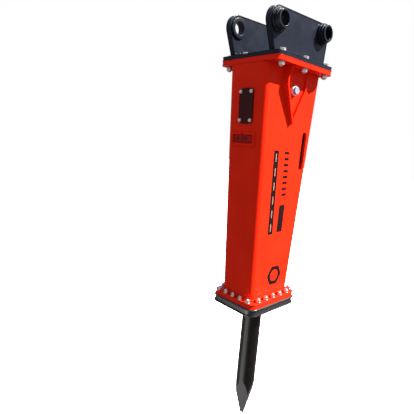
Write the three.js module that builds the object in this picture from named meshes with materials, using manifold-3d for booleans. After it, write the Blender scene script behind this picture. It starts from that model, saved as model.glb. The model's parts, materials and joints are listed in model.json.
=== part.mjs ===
// Hydraulic breaker hammer for an excavator: a box-housed breaker with its top bracket.
// Millimetres, +Z up, the tool points down. The origin is the middle of the bracket base plate's
// top face, between the two ears, on the tool's axis. Inside this file every height is counted
// from the underside of the wear plate, and one group moves the whole model to the origin.
import * as THREE from 'three';
import { mergeVertices } from 'three/addons/utils/BufferGeometryUtils.js';
import Module from 'manifold-3d';

const wasm = await Module();
wasm.setup();

// ---------------------------------------------------------------- driving dimensions

const GAP = 0.3; // between two pieces that rest on each other
const PRESS_CLEARANCE = 0.3; // radial, for a bush or a retainer in its seat
const RUNNING_CLEARANCE = 0.6; // radial, for a sliding piece in its guide
const BOLT_HOLE_CLEARANCE = 1; // radial

const TOOL_DIAMETER = 140;
const TOOL_EXPOSED = 930; // from the wear plate's underside to the point
const TOOL_POINT_LENGTH = 296;
const TOOL_END_WIDTH = 24;
const TOOL_POINT_TURN = 20; // degrees, how the four point faces stand to the housing
const TOOL_FLOAT = 65; // how far the tool slides up
const TOOL_HEAD_RISE = 15; // the tool's struck end above the front head
const TOOL_EDGE = 8;

const WEAR_PLATE_THICKNESS = 55;
const WEAR_PLATE_LIP = 6; // the plate's rim stands out beyond the flange
const BOTTOM_FLANGE_THICKNESS = 35;
const BOTTOM_FLANGE_OVERHANG = [53, 36];
const BOTTOM_FLANGE_RADIUS = 58;

const HOUSING_BOTTOM_HALF = [137, 212];
const HOUSING_TOP_HALF = [154, 300];
const HOUSING_HEIGHT = 1538;
const HOUSING_WALL = 16;
const HOUSING_CORNER = 50;

const TOP_FLANGE_THICKNESS = 30;
const TOP_FLANGE_OVERHANG = [85, 4];
const TOP_FLANGE_CORNER = 40;
const BASE_PLATE_THICKNESS = 25;

const EAR_MIDDLE = 159; // from the tool's axis to the middle of each ear
const EAR_THICKNESS = 40;
const EAR_FOOT = [-268, 262]; // where the ear's front and back edges meet the base plate
const PIN_BORE_RADIUS = 40.2;
const FRONT_PIN = { y: -254, height: 174, rim: 38.8 };
const BACK_PIN = { y: 213, height: 201, rim: 26.8 };
const BOSS_LENGTH = 42; // outside the right ear, where the pins are put in and locked
const BOSS_LIP = 4; // outside the left ear
const BOSS_RING_LENGTH = 11;
const BOSS_GROOVE_LENGTH = 5;
const BOSS_COLLAR_LENGTH = 9;
const BOSS_GROOVE_DEPTH = 2;
const BOSS_WALL = 11.8;
const BOSS_BODY_WALL = 19.8; // through the ear
const BOSS_RING_WALL = 25.8;
const BOSS_INNER_RING = 8; // how far the boss stands out on the ear's inner side

const FLANGE_BOLT_RADIUS = 12;
const FLANGE_BOLT_ACROSS_FLATS = 36;
const OUTER_BOLT_INSET = [28, 66]; // from the top flange's edges
const INNER_BOLT_INSET = 99; // from the top flange's front and back edges
const INNER_BOLT_TO_EAR = 47; // from the ear's middle
const OUTER_HEAD_HEIGHT = 15;
const INNER_HEAD_HEIGHT = 32; // the bolts between the ears have tall heads
const WASHER = { height: 3, overhang: 4 };
const NUT_HEIGHT = 19;
const BOLT_END = 6; // thread that shows past the nut
const STUD_RADIUS = 10;
const STUD_ROW_FRONT = { inset: 17, pitch: 67 };
const STUD_ROW_SIDE = { inset: 24, pitch: 78 };
const STUD_HEIGHT = 27; // above the bottom flange
const STUDS_PER_ROW = 5;

const PORT_DROP = 42; // the hose ports below the back head's top
const PORT_HOLE_RADIUS = 35;
const PORT = { stemRadius: 20, thread: 38, hexRadius: 32, hexLength: 24, capRadius: 26, capLength: 12 };
const PORT_HEX_SUNK = 12; // how far the adapter's hexagon starts inside the housing's top edge
const GUARD_REACH = 38; // how far the port guard stands out of the housing
const GUARD_HALF_WIDTH = 122;
const GUARD_BAR = 12;
const GUARD_BEND_RISE = 22; // the guard's bend above the port
const GUARD_TIP_DROP = 214; // the guard's tip below the port
const GUARD_TIP_REACH = 20;
const GUARD_TIP_RISE = 26; // the V's thickness up the wall at its tip
const GUARD_FLARE = { reach: 24, length: 70 }; // widens under the top flange
const GUARD_BACK_REACH = 12; // the bar behind the port is shallow, so that hoses can leave backwards

const SLOT = { y: 183, drop: 381.6, length: 262, width: 50 };
const COVER = { x: 14, halfWidth: 57, halfHeight: 99, arch: 9, thickness: 9, lap: [25, 35] };
const COVER_BOLT = { inset: [14, 12], radius: 6, acrossFlats: 19, head: 8 };
const NAME_FRAME = { drop: 201, halfWidth: 97, halfHeight: 41, bar: 12, height: 10, slit: 10 };
const NAME_PLATE = { margin: [6, 4], thickness: 3 };

const CELL_HALF = [110, 160]; // the percussion cell's section, guided by the housing
const CELL_CHAMFER = 22;
const FRONT_HEAD_LENGTH = 469;
const BACK_HEAD_LENGTH = 340;
const CELL_TOP_SPACE = 88.7; // from the back head to the top flange
const GAS_CHAMBER_RADIUS = 70;
const GAS_CHAMBER_SPARE = 70; // above the piston at the top of its stroke
const BUSH_WALL = 20;
const LOWER_BUSH_LENGTH = 212;
const UPPER_BUSH_LENGTH = 89;
const TOOL_PIN = { radius: 25, drop: 175, short: 6 };
const TOOL_NOTCH_DEPTH = 18;
const THROUGH_BOLT = { inset: [29, 22], radius: 18, depth: 135, nut: 30, acrossFlats: 55 };

const PISTON_STROKE = 150;
const PISTON_REST = 8; // the striking face above the raised tool
const PISTON_SHAFT_RADIUS = 58;
const PISTON_LAND_RADIUS = 66;
const PISTON_WAIST_RADIUS = 61;
const PISTON_TAIL_RADIUS = 50;
const PISTON_LANDS = { length: 110, height: 26, spare: 16 };
const PISTON_TAIL_RISE = 30; // above the cylinder at the bottom of the stroke
const OIL_CHAMBER = 40; // below the piston's lower land
const RETAINER = { radius: 85, length: 84 };

const SPOOL = { radius: 20, rise: 20, length: 115, travel: 18, land: 24 };
const SPOOL_PORT_RISE = 40;
const PLUG_DEPTH = 22;
const VALVE_BOX = { halfWidth: 58, depth: 72, foot: 60, spare: 25 };
const ACCUMULATOR = { drop: 20, radius: 74, depth: 44, cover: 24, lip: 14 };
const GAS_VALVE = { drop: 168, radius: 14, seat: 36, length: 58 };

const COARSE = 8;
const MEDIUM = 12;
const FINE = 20;

// ---------------------------------------------------------------- levels, from the bottom up

const flangeBottom = WEAR_PLATE_THICKNESS + GAP;
const flangeTop = flangeBottom + BOTTOM_FLANGE_THICKNESS;
const housingBottom = flangeTop + GAP;
const housingTop = housingBottom + HOUSING_HEIGHT;
const cellBottom = housingBottom + GAP;
const frontHeadTop = cellBottom + FRONT_HEAD_LENGTH;
const backHeadTop = housingTop - CELL_TOP_SPACE;
const cylinderTop = backHeadTop - BACK_HEAD_LENGTH; // the cylinder takes what the two heads leave
const topFlangeBottom = housingTop + GAP;
const topFlangeTop = topFlangeBottom + TOP_FLANGE_THICKNESS;
const basePlateBottom = topFlangeTop + GAP;
const basePlateTop = basePlateBottom + BASE_PLATE_THICKNESS;
const earFoot = basePlateTop + GAP;

const portLevel = backHeadTop - PORT_DROP;
const guardBendLevel = portLevel + GUARD_BEND_RISE;
const guardTipLevel = portLevel - GUARD_TIP_DROP;
const gasValveLevel = backHeadTop - GAS_VALVE.drop;
const windowLevel = gasValveLevel;
const nameFrameLevel = windowLevel - NAME_FRAME.drop;
const slotHigh = housingTop - SLOT.drop;
const slotLow = slotHigh - SLOT.length;
const toolPinLevel = frontHeadTop - TOOL_PIN.drop;
const toolHeadLevel = frontHeadTop + TOOL_HEAD_RISE;
const pistonLow = toolHeadLevel + TOOL_FLOAT + PISTON_REST;
const pistonTop = cylinderTop + PISTON_TAIL_RISE;
const retainerLow = cylinderTop - RETAINER.length;
const landHigh = retainerLow - PISTON_STROKE - PISTON_LANDS.spare;
const landLow = landHigh - PISTON_LANDS.length;
const gasChamberTop = pistonTop + PISTON_STROKE + GAS_CHAMBER_SPARE;
const spoolLow = landLow + SPOOL.rise;
const valvePortLevel = spoolLow + SPOOL_PORT_RISE;
const valveBoxTop = spoolLow + SPOOL.length + SPOOL.travel + PLUG_DEPTH + VALVE_BOX.spare;
const accumulatorLevel = landHigh - ACCUMULATOR.drop;

// ---------------------------------------------------------------- sizes that follow from others

const topFlangeHalf = HOUSING_TOP_HALF.map((half, i) => half + TOP_FLANGE_OVERHANG[i]);
const bottomFlangeHalf = HOUSING_BOTTOM_HALF.map((half, i) => half + BOTTOM_FLANGE_OVERHANG[i]);
const bossRadius = PIN_BORE_RADIUS + BOSS_WALL;
const bossBodyRadius = PIN_BORE_RADIUS + BOSS_BODY_WALL;
const bossRingRadius = PIN_BORE_RADIUS + BOSS_RING_WALL;
const frontSlope = (HOUSING_TOP_HALF[1] - HOUSING_BOTTOM_HALF[1]) / HOUSING_HEIGHT;
const frontLean = Math.atan(frontSlope);
const sideSlope = (HOUSING_TOP_HALF[0] - HOUSING_BOTTOM_HALF[0]) / HOUSING_HEIGHT;

/** Distance from the axis to the housing's front face at a level. */
function frontAt(level) {
  return HOUSING_BOTTOM_HALF[1] + frontSlope * (level - housingBottom);
}

/** Distance from the axis to the housing's side face at a level. */
function sideAt(level) {
  return HOUSING_BOTTOM_HALF[0] + sideSlope * (level - housingBottom);
}

// ---------------------------------------------------------------- geometry helpers

/** Signed volume of an indexed closed mesh: negative when its faces point inwards. */
function signedVolume(position, index) {
  const a = new THREE.Vector3();
  const b = new THREE.Vector3();
  const c = new THREE.Vector3();
  let total = 0;
  for (let i = 0; i < index.length; i += 3) {
    a.fromBufferAttribute(position, index[i]);
    b.fromBufferAttribute(position, index[i + 1]);
    c.fromBufferAttribute(position, index[i + 2]);
    total += a.dot(b.cross(c)) / 6;
  }
  return total;
}

/** A three.js geometry as a solid that can be joined and cut. */
function solid(source) {
  const bare = source.clone();
  for (const name of ['normal', 'uv']) {
    bare.deleteAttribute(name);
  }
  const merged = mergeVertices(bare, 1e-3);
  const index = Uint32Array.from(merged.index.array);
  if (signedVolume(merged.attributes.position, index) < 0) {
    index.reverse();
  }
  return new wasm.Manifold(new wasm.Mesh({
    numProp: 3,
    vertProperties: Float32Array.from(merged.attributes.position.array),
    triVerts: index,
  }));
}

/** The solid back as a three.js geometry. */
function geometryOf(body) {
  const mesh = body.getMesh();
  const geometry = new THREE.BufferGeometry();
  geometry.setAttribute('position', new THREE.BufferAttribute(mesh.vertProperties, 3));
  geometry.setIndex(new THREE.BufferAttribute(mesh.triVerts, 1));
  geometry.computeVertexNormals();
  return geometry;
}

/** One body made of several that overlap. */
function union(...bodies) {
  return bodies.reduce((whole, body) => whole.add(body));
}

/** A body with every tool cut out of it. */
function cut(body, ...tools) {
  return tools.reduce((rest, tool) => rest.subtract(tool), body);
}

/** A box from one corner to the opposite one. */
function block(low, high) {
  const size = high.map((value, i) => value - low[i]);
  const middle = high.map((value, i) => (value + low[i]) / 2);
  return solid(new THREE.BoxGeometry(...size).translate(...middle));
}

/** A box centred on the tool's axis between two levels. */
function centredBlock([halfX, halfY], low, high) {
  return block([-halfX, -halfY, low], [halfX, halfY, high]);
}

/** A round bar along 'x', 'y' or 'z' from low to high, its axis through the two other coordinates. */
function bar(axis, radius, low, high, across, segments = MEDIUM) {
  const geometry = new THREE.CylinderGeometry(radius, radius, high - low, segments);
  const middle = (low + high) / 2;
  if (axis === 'x') {
    geometry.rotateZ(-Math.PI / 2).translate(middle, across[0], across[1]);
  } else if (axis === 'y') {
    geometry.translate(across[0], middle, across[1]);
  } else {
    geometry.rotateX(Math.PI / 2).translate(across[0], across[1], middle);
  }
  return solid(geometry);
}

/** A hexagonal bar along +Z from low to high. */
function hexagon(acrossFlats, low, high, [x, y] = [0, 0]) {
  return bar('z', acrossFlats / Math.sqrt(3), low, high, [x, y], 6);
}

/** A body of revolution about +Z from a closed outline of [radius, level] points. */
function turned(outline, segments = FINE) {
  const points = outline.map(([radius, level]) => new THREE.Vector2(radius, level));
  points.push(points[0].clone());
  return new THREE.LatheGeometry(points, segments).rotateX(Math.PI / 2);
}

/** A ring about the axis. */
function ring(inner, outer, low, high, segments = FINE) {
  return solid(turned([[inner, low], [outer, low], [outer, high], [inner, high]], segments));
}

/** Outline of a rectangle with round corners, centred on 0. */
function roundedRectangle([halfX, halfY], radius) {
  const shape = new THREE.Shape();
  shape.absarc(halfX - radius, halfY - radius, radius, 0, Math.PI / 2);
  shape.absarc(radius - halfX, halfY - radius, radius, Math.PI / 2, Math.PI);
  shape.absarc(radius - halfX, radius - halfY, radius, Math.PI, Math.PI * 1.5);
  shape.absarc(halfX - radius, radius - halfY, radius, Math.PI * 1.5, Math.PI * 2);
  shape.closePath();
  return shape;
}

/** Outline through a list of [x, y] points. */
function polygon(points) {
  return new THREE.Shape(points.map(([x, y]) => new THREE.Vector2(x, y)));
}

/** A shape drawn in X and Y, extruded up from one level to another. */
function upright(shape, low, high, curveSegments = 6) {
  const options = { depth: high - low, bevelEnabled: false, curveSegments };
  return new THREE.ExtrudeGeometry(shape, options).translate(0, 0, low);
}

/** A shape drawn in Y and Z, extruded along +X. */
function alongX(shape, low, high, curveSegments = 6) {
  const turn = new THREE.Matrix4().makeBasis(
    new THREE.Vector3(0, 1, 0),
    new THREE.Vector3(0, 0, 1),
    new THREE.Vector3(1, 0, 0),
  );
  return upright(shape, 0, high - low, curveSegments).applyMatrix4(turn).translate(low, 0, 0);
}

/** A shape drawn in X and Z, extruded along +Y. */
function alongY(shape, low, high, curveSegments = 6) {
  const turn = new THREE.Matrix4().makeBasis(
    new THREE.Vector3(1, 0, 0),
    new THREE.Vector3(0, 0, 1),
    new THREE.Vector3(0, -1, 0),
  );
  return upright(shape, 0, high - low, curveSegments).applyMatrix4(turn).translate(0, high, 0);
}

/** A round-cornered block that widens from its bottom to its top, with one corner radius. */
function taperedBlock(bottomHalf, topHalf, radius, low, high) {
  const geometry = upright(roundedRectangle(topHalf, radius), low, high);
  const position = geometry.attributes.position;
  for (let i = 0; i < position.count; i += 1) {
    const x = position.getX(i);
    const y = position.getY(i);
    const down = (high - position.getZ(i)) / (high - low);
    position.setX(i, x - Math.sign(x) * down * (topHalf[0] - bottomHalf[0]));
    position.setY(i, y - Math.sign(y) * down * (topHalf[1] - bottomHalf[1]));
  }
  return solid(geometry);
}

/** Both sizes of a half section, made larger by the same amount. */
function grown(half, amount) {
  return half.map((value) => value + amount);
}

/** The four corners of a rectangle about the axis. */
function fourCorners(x, y) {
  return [[-x, -y], [x, -y], [x, y], [-x, y]];
}

// ---------------------------------------------------------------- materials

/** A material with its colour, roughness and metalness. */
function surface(color, roughness, metalness) {
  return new THREE.MeshStandardMaterial({ color, roughness, metalness });
}

const redPaint = surface(0xe8371c, 0.38, 0.0);
const blackPaint = surface(0x1f242b, 0.42, 0.0);
const coverPaint = surface(0x1d1513, 0.6, 0.0);
const zincSteel = surface(0xc9ccd0, 0.3, 0.9);
const toolSteel = surface(0x26282b, 0.4, 0.7);
const forgedSteel = surface(0x55585c, 0.5, 0.8);
const groundSteel = surface(0x9a9da1, 0.25, 0.95);
const bronze = surface(0xa9743a, 0.35, 0.9);
const polyurethane = surface(0x2b2a28, 0.75, 0.0);
const labelMetal = surface(0x3a0f0d, 0.45, 0.3);
const capPlastic = surface(0x1c2f5e, 0.45, 0.0);

// ---------------------------------------------------------------- the scene graph

const breaker = new THREE.Group();
const stack = new THREE.Group();
stack.position.z = -basePlateTop;
breaker.add(stack);

/** Adds one named piece, at a place in its parent. */
function piece(name, geometry, material, place = [0, 0, 0], parent = stack) {
  const mesh = new THREE.Mesh(geometry, material);
  mesh.name = name;
  mesh.position.set(...place);
  parent.add(mesh);
  return mesh;
}

/** A group that lies on the housing's leaning front face: its -Y points straight out of the face. */
function onFrontFace(level) {
  const group = new THREE.Group();
  group.position.set(0, -frontAt(level), level);
  group.rotation.x = frontLean;
  stack.add(group);
  return group;
}

/** A cutting body drawn on the front face, moved to where the face is. */
function atFrontFace(geometry, level) {
  return solid(geometry.rotateX(frontLean).translate(0, -frontAt(level), level));
}

// ---------------------------------------------------------------- bolt places

const outerBoltReach = topFlangeHalf.map((half, i) => half - OUTER_BOLT_INSET[i]);
const outerBolts = [-1, 1].flatMap((side) => (
  [-1, 0, 1].map((row) => [side * outerBoltReach[0], row * outerBoltReach[1]])));
const innerBolts = fourCorners(EAR_MIDDLE - INNER_BOLT_TO_EAR, topFlangeHalf[1] - INNER_BOLT_INSET);
const flangeBolts = [...outerBolts, ...innerBolts];

/** Places of the studs that carry the wear plate, five along each edge. */
function studPlaces() {
  const places = [];
  const sideRow = bottomFlangeHalf[0] - STUD_ROW_SIDE.inset;
  const frontRow = bottomFlangeHalf[1] - STUD_ROW_FRONT.inset;
  for (let i = 0; i < STUDS_PER_ROW; i += 1) {
    const step = i - (STUDS_PER_ROW - 1) / 2;
    for (const side of [-1, 1]) {
      places.push([step * STUD_ROW_FRONT.pitch, side * frontRow]);
      places.push([side * sideRow, step * STUD_ROW_SIDE.pitch]);
    }
  }
  return places;
}

const coverBolts = fourCorners(
  COVER.halfWidth - COVER_BOLT.inset[0],
  COVER.halfHeight - COVER_BOLT.inset[1],
).map(([x, z]) => [COVER.x + x, z]);

// ---------------------------------------------------------------- bracket

/** Convex outline around a list of points, by the monotone chain. */
function convexOutline(points) {
  const sorted = [...points].sort((a, b) => a[0] - b[0] || a[1] - b[1]);
  const turn = (o, a, b) => (a[0] - o[0]) * (b[1] - o[1]) - (a[1] - o[1]) * (b[0] - o[0]);
  const chain = (list) => {
    const kept = [];
    for (const point of list) {
      while (kept.length > 1 && turn(kept.at(-2), kept.at(-1), point) <= 0) {
        kept.pop();
      }
      kept.push(point);
    }
    kept.pop();
    return kept;
  };
  return [...chain(sorted), ...chain(sorted.reverse())];
}

/** Points on a circle in the ear's plane. */
function circlePoints(y, height, radius) {
  return Array.from({ length: FINE }, (_, i) => {
    const angle = (i / FINE) * Math.PI * 2;
    return [y + radius * Math.cos(angle), height + radius * Math.sin(angle)];
  });
}

/** The ear: a plate wrapped around its two pin bosses, standing on the base plate. */
function earGeometry() {
  const outline = convexOutline([
    [EAR_FOOT[0], 0],
    [EAR_FOOT[1], 0],
    ...circlePoints(FRONT_PIN.y, FRONT_PIN.height, PIN_BORE_RADIUS + FRONT_PIN.rim),
    ...circlePoints(BACK_PIN.y, BACK_PIN.height, PIN_BORE_RADIUS + BACK_PIN.rim),
  ]);
  const plate = solid(alongX(polygon(outline), -EAR_THICKNESS / 2, EAR_THICKNESS / 2));
  const seats = [FRONT_PIN, BACK_PIN].map((pin) => bar(
    'x',
    bossBodyRadius + PRESS_CLEARANCE,
    -EAR_THICKNESS,
    EAR_THICKNESS,
    [pin.y, pin.height - GAP],
    FINE,
  ));
  return geometryOf(cut(plate, ...seats));
}

/** The left ear's pin boss: a plain ring that stands a little out of the ear on both sides. */
function shortBossGeometry() {
  const inner = -EAR_THICKNESS / 2 - BOSS_INNER_RING;
  const end = EAR_THICKNESS / 2 + BOSS_LIP;
  const outline = [
    [PIN_BORE_RADIUS, inner],
    [bossBodyRadius, inner],
    [bossBodyRadius, end],
    [PIN_BORE_RADIUS, end],
  ];
  return geometryOf(solid(turned(outline).rotateY(Math.PI / 2)));
}

/** The right ear's stepped pin boss, its axis along +X, measured from the ear's middle plane. */
function longBossGeometry() {
  const inner = -EAR_THICKNESS / 2 - BOSS_INNER_RING;
  const face = EAR_THICKNESS / 2 + GAP;
  const ringEnd = face + BOSS_RING_LENGTH;
  const grooveEnd = ringEnd + BOSS_GROOVE_LENGTH;
  const collarEnd = grooveEnd + BOSS_COLLAR_LENGTH;
  const end = EAR_THICKNESS / 2 + BOSS_LENGTH;
  const outline = [
    [PIN_BORE_RADIUS, inner],
    [bossBodyRadius, inner],
    [bossBodyRadius, face],
    [bossRingRadius, face],
    [bossRingRadius, ringEnd],
    [bossRadius + BOSS_GROOVE_DEPTH, ringEnd],
    [bossRadius + BOSS_GROOVE_DEPTH, grooveEnd],
    [bossBodyRadius - 1, grooveEnd],
    [bossBodyRadius - 1, collarEnd],
    [bossRadius, collarEnd],
    [bossRadius, end],
    [PIN_BORE_RADIUS, end],
  ];
  return geometryOf(solid(turned(outline).rotateY(Math.PI / 2)));
}

/** Base plate with its ten bolt holes. */
function basePlateGeometry() {
  const outline = roundedRectangle(topFlangeHalf, TOP_FLANGE_CORNER);
  return geometryOf(cut(solid(upright(outline, basePlateBottom, basePlateTop)), ...flangeBoltHoles()));
}

/** Clearance holes through the base plate and the top flange. */
function flangeBoltHoles() {
  const radius = FLANGE_BOLT_RADIUS + BOLT_HOLE_CLEARANCE;
  return flangeBolts.map((place) => (
    bar('z', radius, topFlangeBottom - 1, basePlateTop + 1, place, COARSE)));
}

/** Bolt with its washers and nut, its zero at the base plate's top face. */
function flangeBoltGeometry(headHeight) {
  const washer = WASHER.height;
  const washerRadius = FLANGE_BOLT_ACROSS_FLATS / 2 + WASHER.overhang;
  const under = topFlangeBottom - basePlateTop - GAP;
  const headTop = GAP + washer + headHeight;
  const nutLow = under - washer - NUT_HEIGHT;
  return geometryOf(union(
    bar('z', FLANGE_BOLT_RADIUS, nutLow - BOLT_END, headTop - 1, [0, 0], COARSE),
    bar('z', washerRadius, GAP, GAP + washer, [0, 0], MEDIUM),
    hexagon(FLANGE_BOLT_ACROSS_FLATS, GAP + washer - 1, headTop),
    bar('z', washerRadius, under - washer, under, [0, 0], MEDIUM),
    hexagon(FLANGE_BOLT_ACROSS_FLATS, nutLow, under - washer + 1),
  ));
}

piece('bracket_base_plate', basePlateGeometry(), blackPaint);
for (const [side, label] of [[-1, 'left'], [1, 'right']]) {
  const ear = new THREE.Group();
  ear.position.set(side * EAR_MIDDLE, 0, earFoot);
  stack.add(ear);
  piece(`bracket_ear_${label}`, earGeometry(), blackPaint, [0, 0, 0], ear);
  for (const [pin, end] of [[FRONT_PIN, 'front'], [BACK_PIN, 'back']]) {
    const place = [0, pin.y, pin.height - GAP];
    const geometry = side > 0 ? longBossGeometry() : shortBossGeometry();
    const boss = piece(`pin_boss_${end}_${label}`, geometry, blackPaint, place, ear);
    boss.rotation.z = side > 0 ? 0 : Math.PI;
  }
}
outerBolts.forEach(([x, y], i) => {
  piece(`flange_bolt_outer_${i + 1}`, flangeBoltGeometry(OUTER_HEAD_HEIGHT), zincSteel, [x, y, basePlateTop]);
});
innerBolts.forEach(([x, y], i) => {
  piece(`flange_bolt_inner_${i + 1}`, flangeBoltGeometry(INNER_HEAD_HEIGHT), zincSteel, [x, y, basePlateTop]);
});

// ---------------------------------------------------------------- housing

/** Openings that go through the housing's walls. */
function housingOpenings() {
  const reach = HOUSING_TOP_HALF[0] + HOUSING_CORNER;
  const slotShape = new THREE.Shape();
  const half = SLOT.width / 2;
  slotShape.absarc(SLOT.y, slotHigh - half, half, 0, Math.PI);
  slotShape.absarc(SLOT.y, slotLow + half, half, Math.PI, Math.PI * 2);
  const windowHalf = [COVER.halfWidth - COVER.lap[0], COVER.halfHeight - COVER.lap[1]];
  const depth = HOUSING_WALL * 2;
  const window = alongY(roundedRectangle(windowHalf, HOUSING_WALL), -depth, depth).translate(COVER.x, 0, 0);
  const radius = COVER_BOLT.radius + BOLT_HOLE_CLEARANCE;
  const holes = coverBolts.map(([x, z]) => {
    const hole = new THREE.CylinderGeometry(radius, radius, depth * 2, COARSE);
    return atFrontFace(hole.translate(x, 0, z), windowLevel);
  });
  return [
    bar('x', PORT_HOLE_RADIUS, -reach, reach, [0, portLevel], MEDIUM),
    solid(alongX(slotShape, -reach, reach)),
    atFrontFace(window, windowLevel),
    ...holes,
  ];
}

/** The housing's leaning box: one outline for the outside, one for the inside. */
function housingShellGeometry() {
  const outside = taperedBlock(
    HOUSING_BOTTOM_HALF,
    HOUSING_TOP_HALF,
    HOUSING_CORNER,
    housingBottom,
    housingTop,
  );
  const inside = taperedBlock(
    grown(HOUSING_BOTTOM_HALF, -HOUSING_WALL - sideSlope),
    grown(HOUSING_TOP_HALF, -HOUSING_WALL + sideSlope),
    HOUSING_CORNER - HOUSING_WALL,
    housingBottom - 1,
    housingTop + 1,
  );
  return geometryOf(cut(outside, inside, ...housingOpenings()));
}

/** Top flange: the ring that the bracket is bolted to, open over the upper damper. */
function topFlangeGeometry() {
  const outline = roundedRectangle(topFlangeHalf, TOP_FLANGE_CORNER);
  const plate = solid(upright(outline, topFlangeBottom, topFlangeTop));
  const opening = centredBlock(grown(CELL_HALF, -2), topFlangeBottom - 1, topFlangeTop + 1);
  return geometryOf(cut(plate, opening, ...flangeBoltHoles()));
}

/** Bottom flange: the ring above the wear plate, with its twenty stud holes. */
function bottomFlangeGeometry() {
  const outline = roundedRectangle(bottomFlangeHalf, BOTTOM_FLANGE_RADIUS);
  const opening = centredBlock(grown(CELL_HALF, 2), flangeBottom - 1, flangeTop + 1);
  const radius = STUD_RADIUS + BOLT_HOLE_CLEARANCE;
  const holes = studPlaces().map((place) => (
    bar('z', radius, flangeBottom - 1, flangeTop + 1, place, COARSE)));
  return geometryOf(cut(solid(upright(outline, flangeBottom, flangeTop)), opening, ...holes));
}

/** Wear plate: a thick plate with a proud bevelled rim, its tool hole and its welded studs. */
function wearPlateGeometry() {
  const bevel = 9;
  const shape = roundedRectangle(grown(bottomFlangeHalf, WEAR_PLATE_LIP - bevel), BOTTOM_FLANGE_RADIUS);
  const options = {
    depth: WEAR_PLATE_THICKNESS - 2 * bevel,
    bevelEnabled: true,
    bevelThickness: bevel,
    bevelSize: bevel,
    bevelSegments: 1,
    curveSegments: 6,
  };
  const plate = solid(new THREE.ExtrudeGeometry(shape, options).translate(0, 0, bevel));
  const hole = bar('z', TOOL_DIAMETER / 2 + 5, -1, WEAR_PLATE_THICKNESS + 1, [0, 0], FINE);
  const studs = studPlaces().map((place) => (
    bar('z', STUD_RADIUS, WEAR_PLATE_THICKNESS - 10, flangeTop + STUD_HEIGHT, place, COARSE)));
  return geometryOf(union(cut(plate, hole), ...studs));
}

/** Port guard on the right: two bars down from the top flange that meet in a V under the port. */
function portGuardGeometry(backwards) {
  const inner = GUARD_HALF_WIDTH - GUARD_BAR;
  const band = polygon([
    [-GUARD_HALF_WIDTH, housingTop],
    [-GUARD_HALF_WIDTH, guardBendLevel],
    [0, guardTipLevel],
    [GUARD_HALF_WIDTH, guardBendLevel],
    [GUARD_HALF_WIDTH, housingTop],
    [inner, housingTop],
    [inner, guardBendLevel + GUARD_BAR / 4],
    [0, guardTipLevel + GUARD_TIP_RISE],
    [-inner, guardBendLevel + GUARD_BAR / 4],
    [-inner, housingTop],
  ]);
  const out = HOUSING_TOP_HALF[0] + GUARD_REACH;
  const side = polygon([
    [HOUSING_WALL, housingTop],
    [HOUSING_WALL, guardTipLevel - 1],
    [sideAt(guardTipLevel) + GUARD_TIP_REACH, guardTipLevel - 1],
    [out, guardBendLevel],
    [out, housingTop - GUARD_FLARE.length],
    [out + GUARD_FLARE.reach, housingTop],
  ]);
  const bars = solid(alongX(band, HOUSING_WALL, out + GUARD_FLARE.reach + 1));
  const wedge = solid(alongY(side, -GUARD_HALF_WIDTH - 1, GUARD_HALF_WIDTH + 1));
  const wall = taperedBlock(
    grown(HOUSING_BOTTOM_HALF, GAP),
    grown(HOUSING_TOP_HALF, GAP),
    HOUSING_CORNER,
    housingBottom,
    housingTop,
  );
  const spare = block(
    [HOUSING_TOP_HALF[0] + GUARD_BACK_REACH, backwards > 0 ? 0 : -2 * GUARD_HALF_WIDTH, guardTipLevel - 1],
    [out + 2 * GUARD_FLARE.reach, backwards > 0 ? 2 * GUARD_HALF_WIDTH : 0, housingTop + 1],
  );
  return geometryOf(bars.intersect(wedge).subtract(wall).subtract(spare));
}

piece('housing_shell', housingShellGeometry(), redPaint);
piece('housing_top_flange', topFlangeGeometry(), redPaint);
piece('housing_bottom_flange', bottomFlangeGeometry(), redPaint);
piece('wear_plate', wearPlateGeometry(), blackPaint);
piece('port_guard_right', portGuardGeometry(1), redPaint);
piece('port_guard_left', portGuardGeometry(-1), redPaint).rotation.z = Math.PI;

// ---------------------------------------------------------------- pieces on the front face

/** Inspection cover with arched ends, over the window in the front wall. */
function coverGeometry() {
  const shape = new THREE.Shape();
  const { x, halfWidth, halfHeight, arch, thickness } = COVER;
  shape.moveTo(x - halfWidth, -halfHeight);
  shape.quadraticCurveTo(x, -halfHeight - 2 * arch, x + halfWidth, -halfHeight);
  shape.lineTo(x + halfWidth, halfHeight);
  shape.quadraticCurveTo(x, halfHeight + 2 * arch, x - halfWidth, halfHeight);
  shape.closePath();
  const radius = COVER_BOLT.radius + BOLT_HOLE_CLEARANCE;
  const holes = coverBolts.map((place) => bar('y', radius, -thickness - 2, 1, place, COARSE));
  return geometryOf(cut(solid(alongY(shape, -thickness - GAP, -GAP)), ...holes));
}

/** Cover bolt: a hexagon head and a shank through the cover and the wall. */
function coverBoltGeometry() {
  const face = COVER.thickness + 2 * GAP;
  const head = hexagon(COVER_BOLT.acrossFlats, face, face + COVER_BOLT.head);
  const shank = bar('z', COVER_BOLT.radius, -HOUSING_WALL - 6, face + 1, [0, 0], COARSE);
  return geometryOf(union(head, shank)).rotateX(Math.PI / 2);
}

/** Raised frame around the name plate, with a slit in its top bar. */
function nameFrameGeometry() {
  const { halfWidth, halfHeight, bar: width, height, slit } = NAME_FRAME;
  const outer = block([-halfWidth, -height - GAP, -halfHeight], [halfWidth, -GAP, halfHeight]);
  const hole = block(
    [width - halfWidth, -height - 1, width - halfHeight],
    [halfWidth - width, 1, halfHeight - width],
  );
  const gap = block([-slit, -height - 1, 0], [0, 1, halfHeight + 1]);
  return geometryOf(cut(outer, hole, gap));
}

const coverGroup = onFrontFace(windowLevel);
piece('inspection_cover', coverGeometry(), coverPaint, [0, 0, 0], coverGroup);
coverBolts.forEach(([x, z], i) => {
  piece(`cover_bolt_${i + 1}`, coverBoltGeometry(), zincSteel, [x, 0, z], coverGroup);
});

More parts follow.
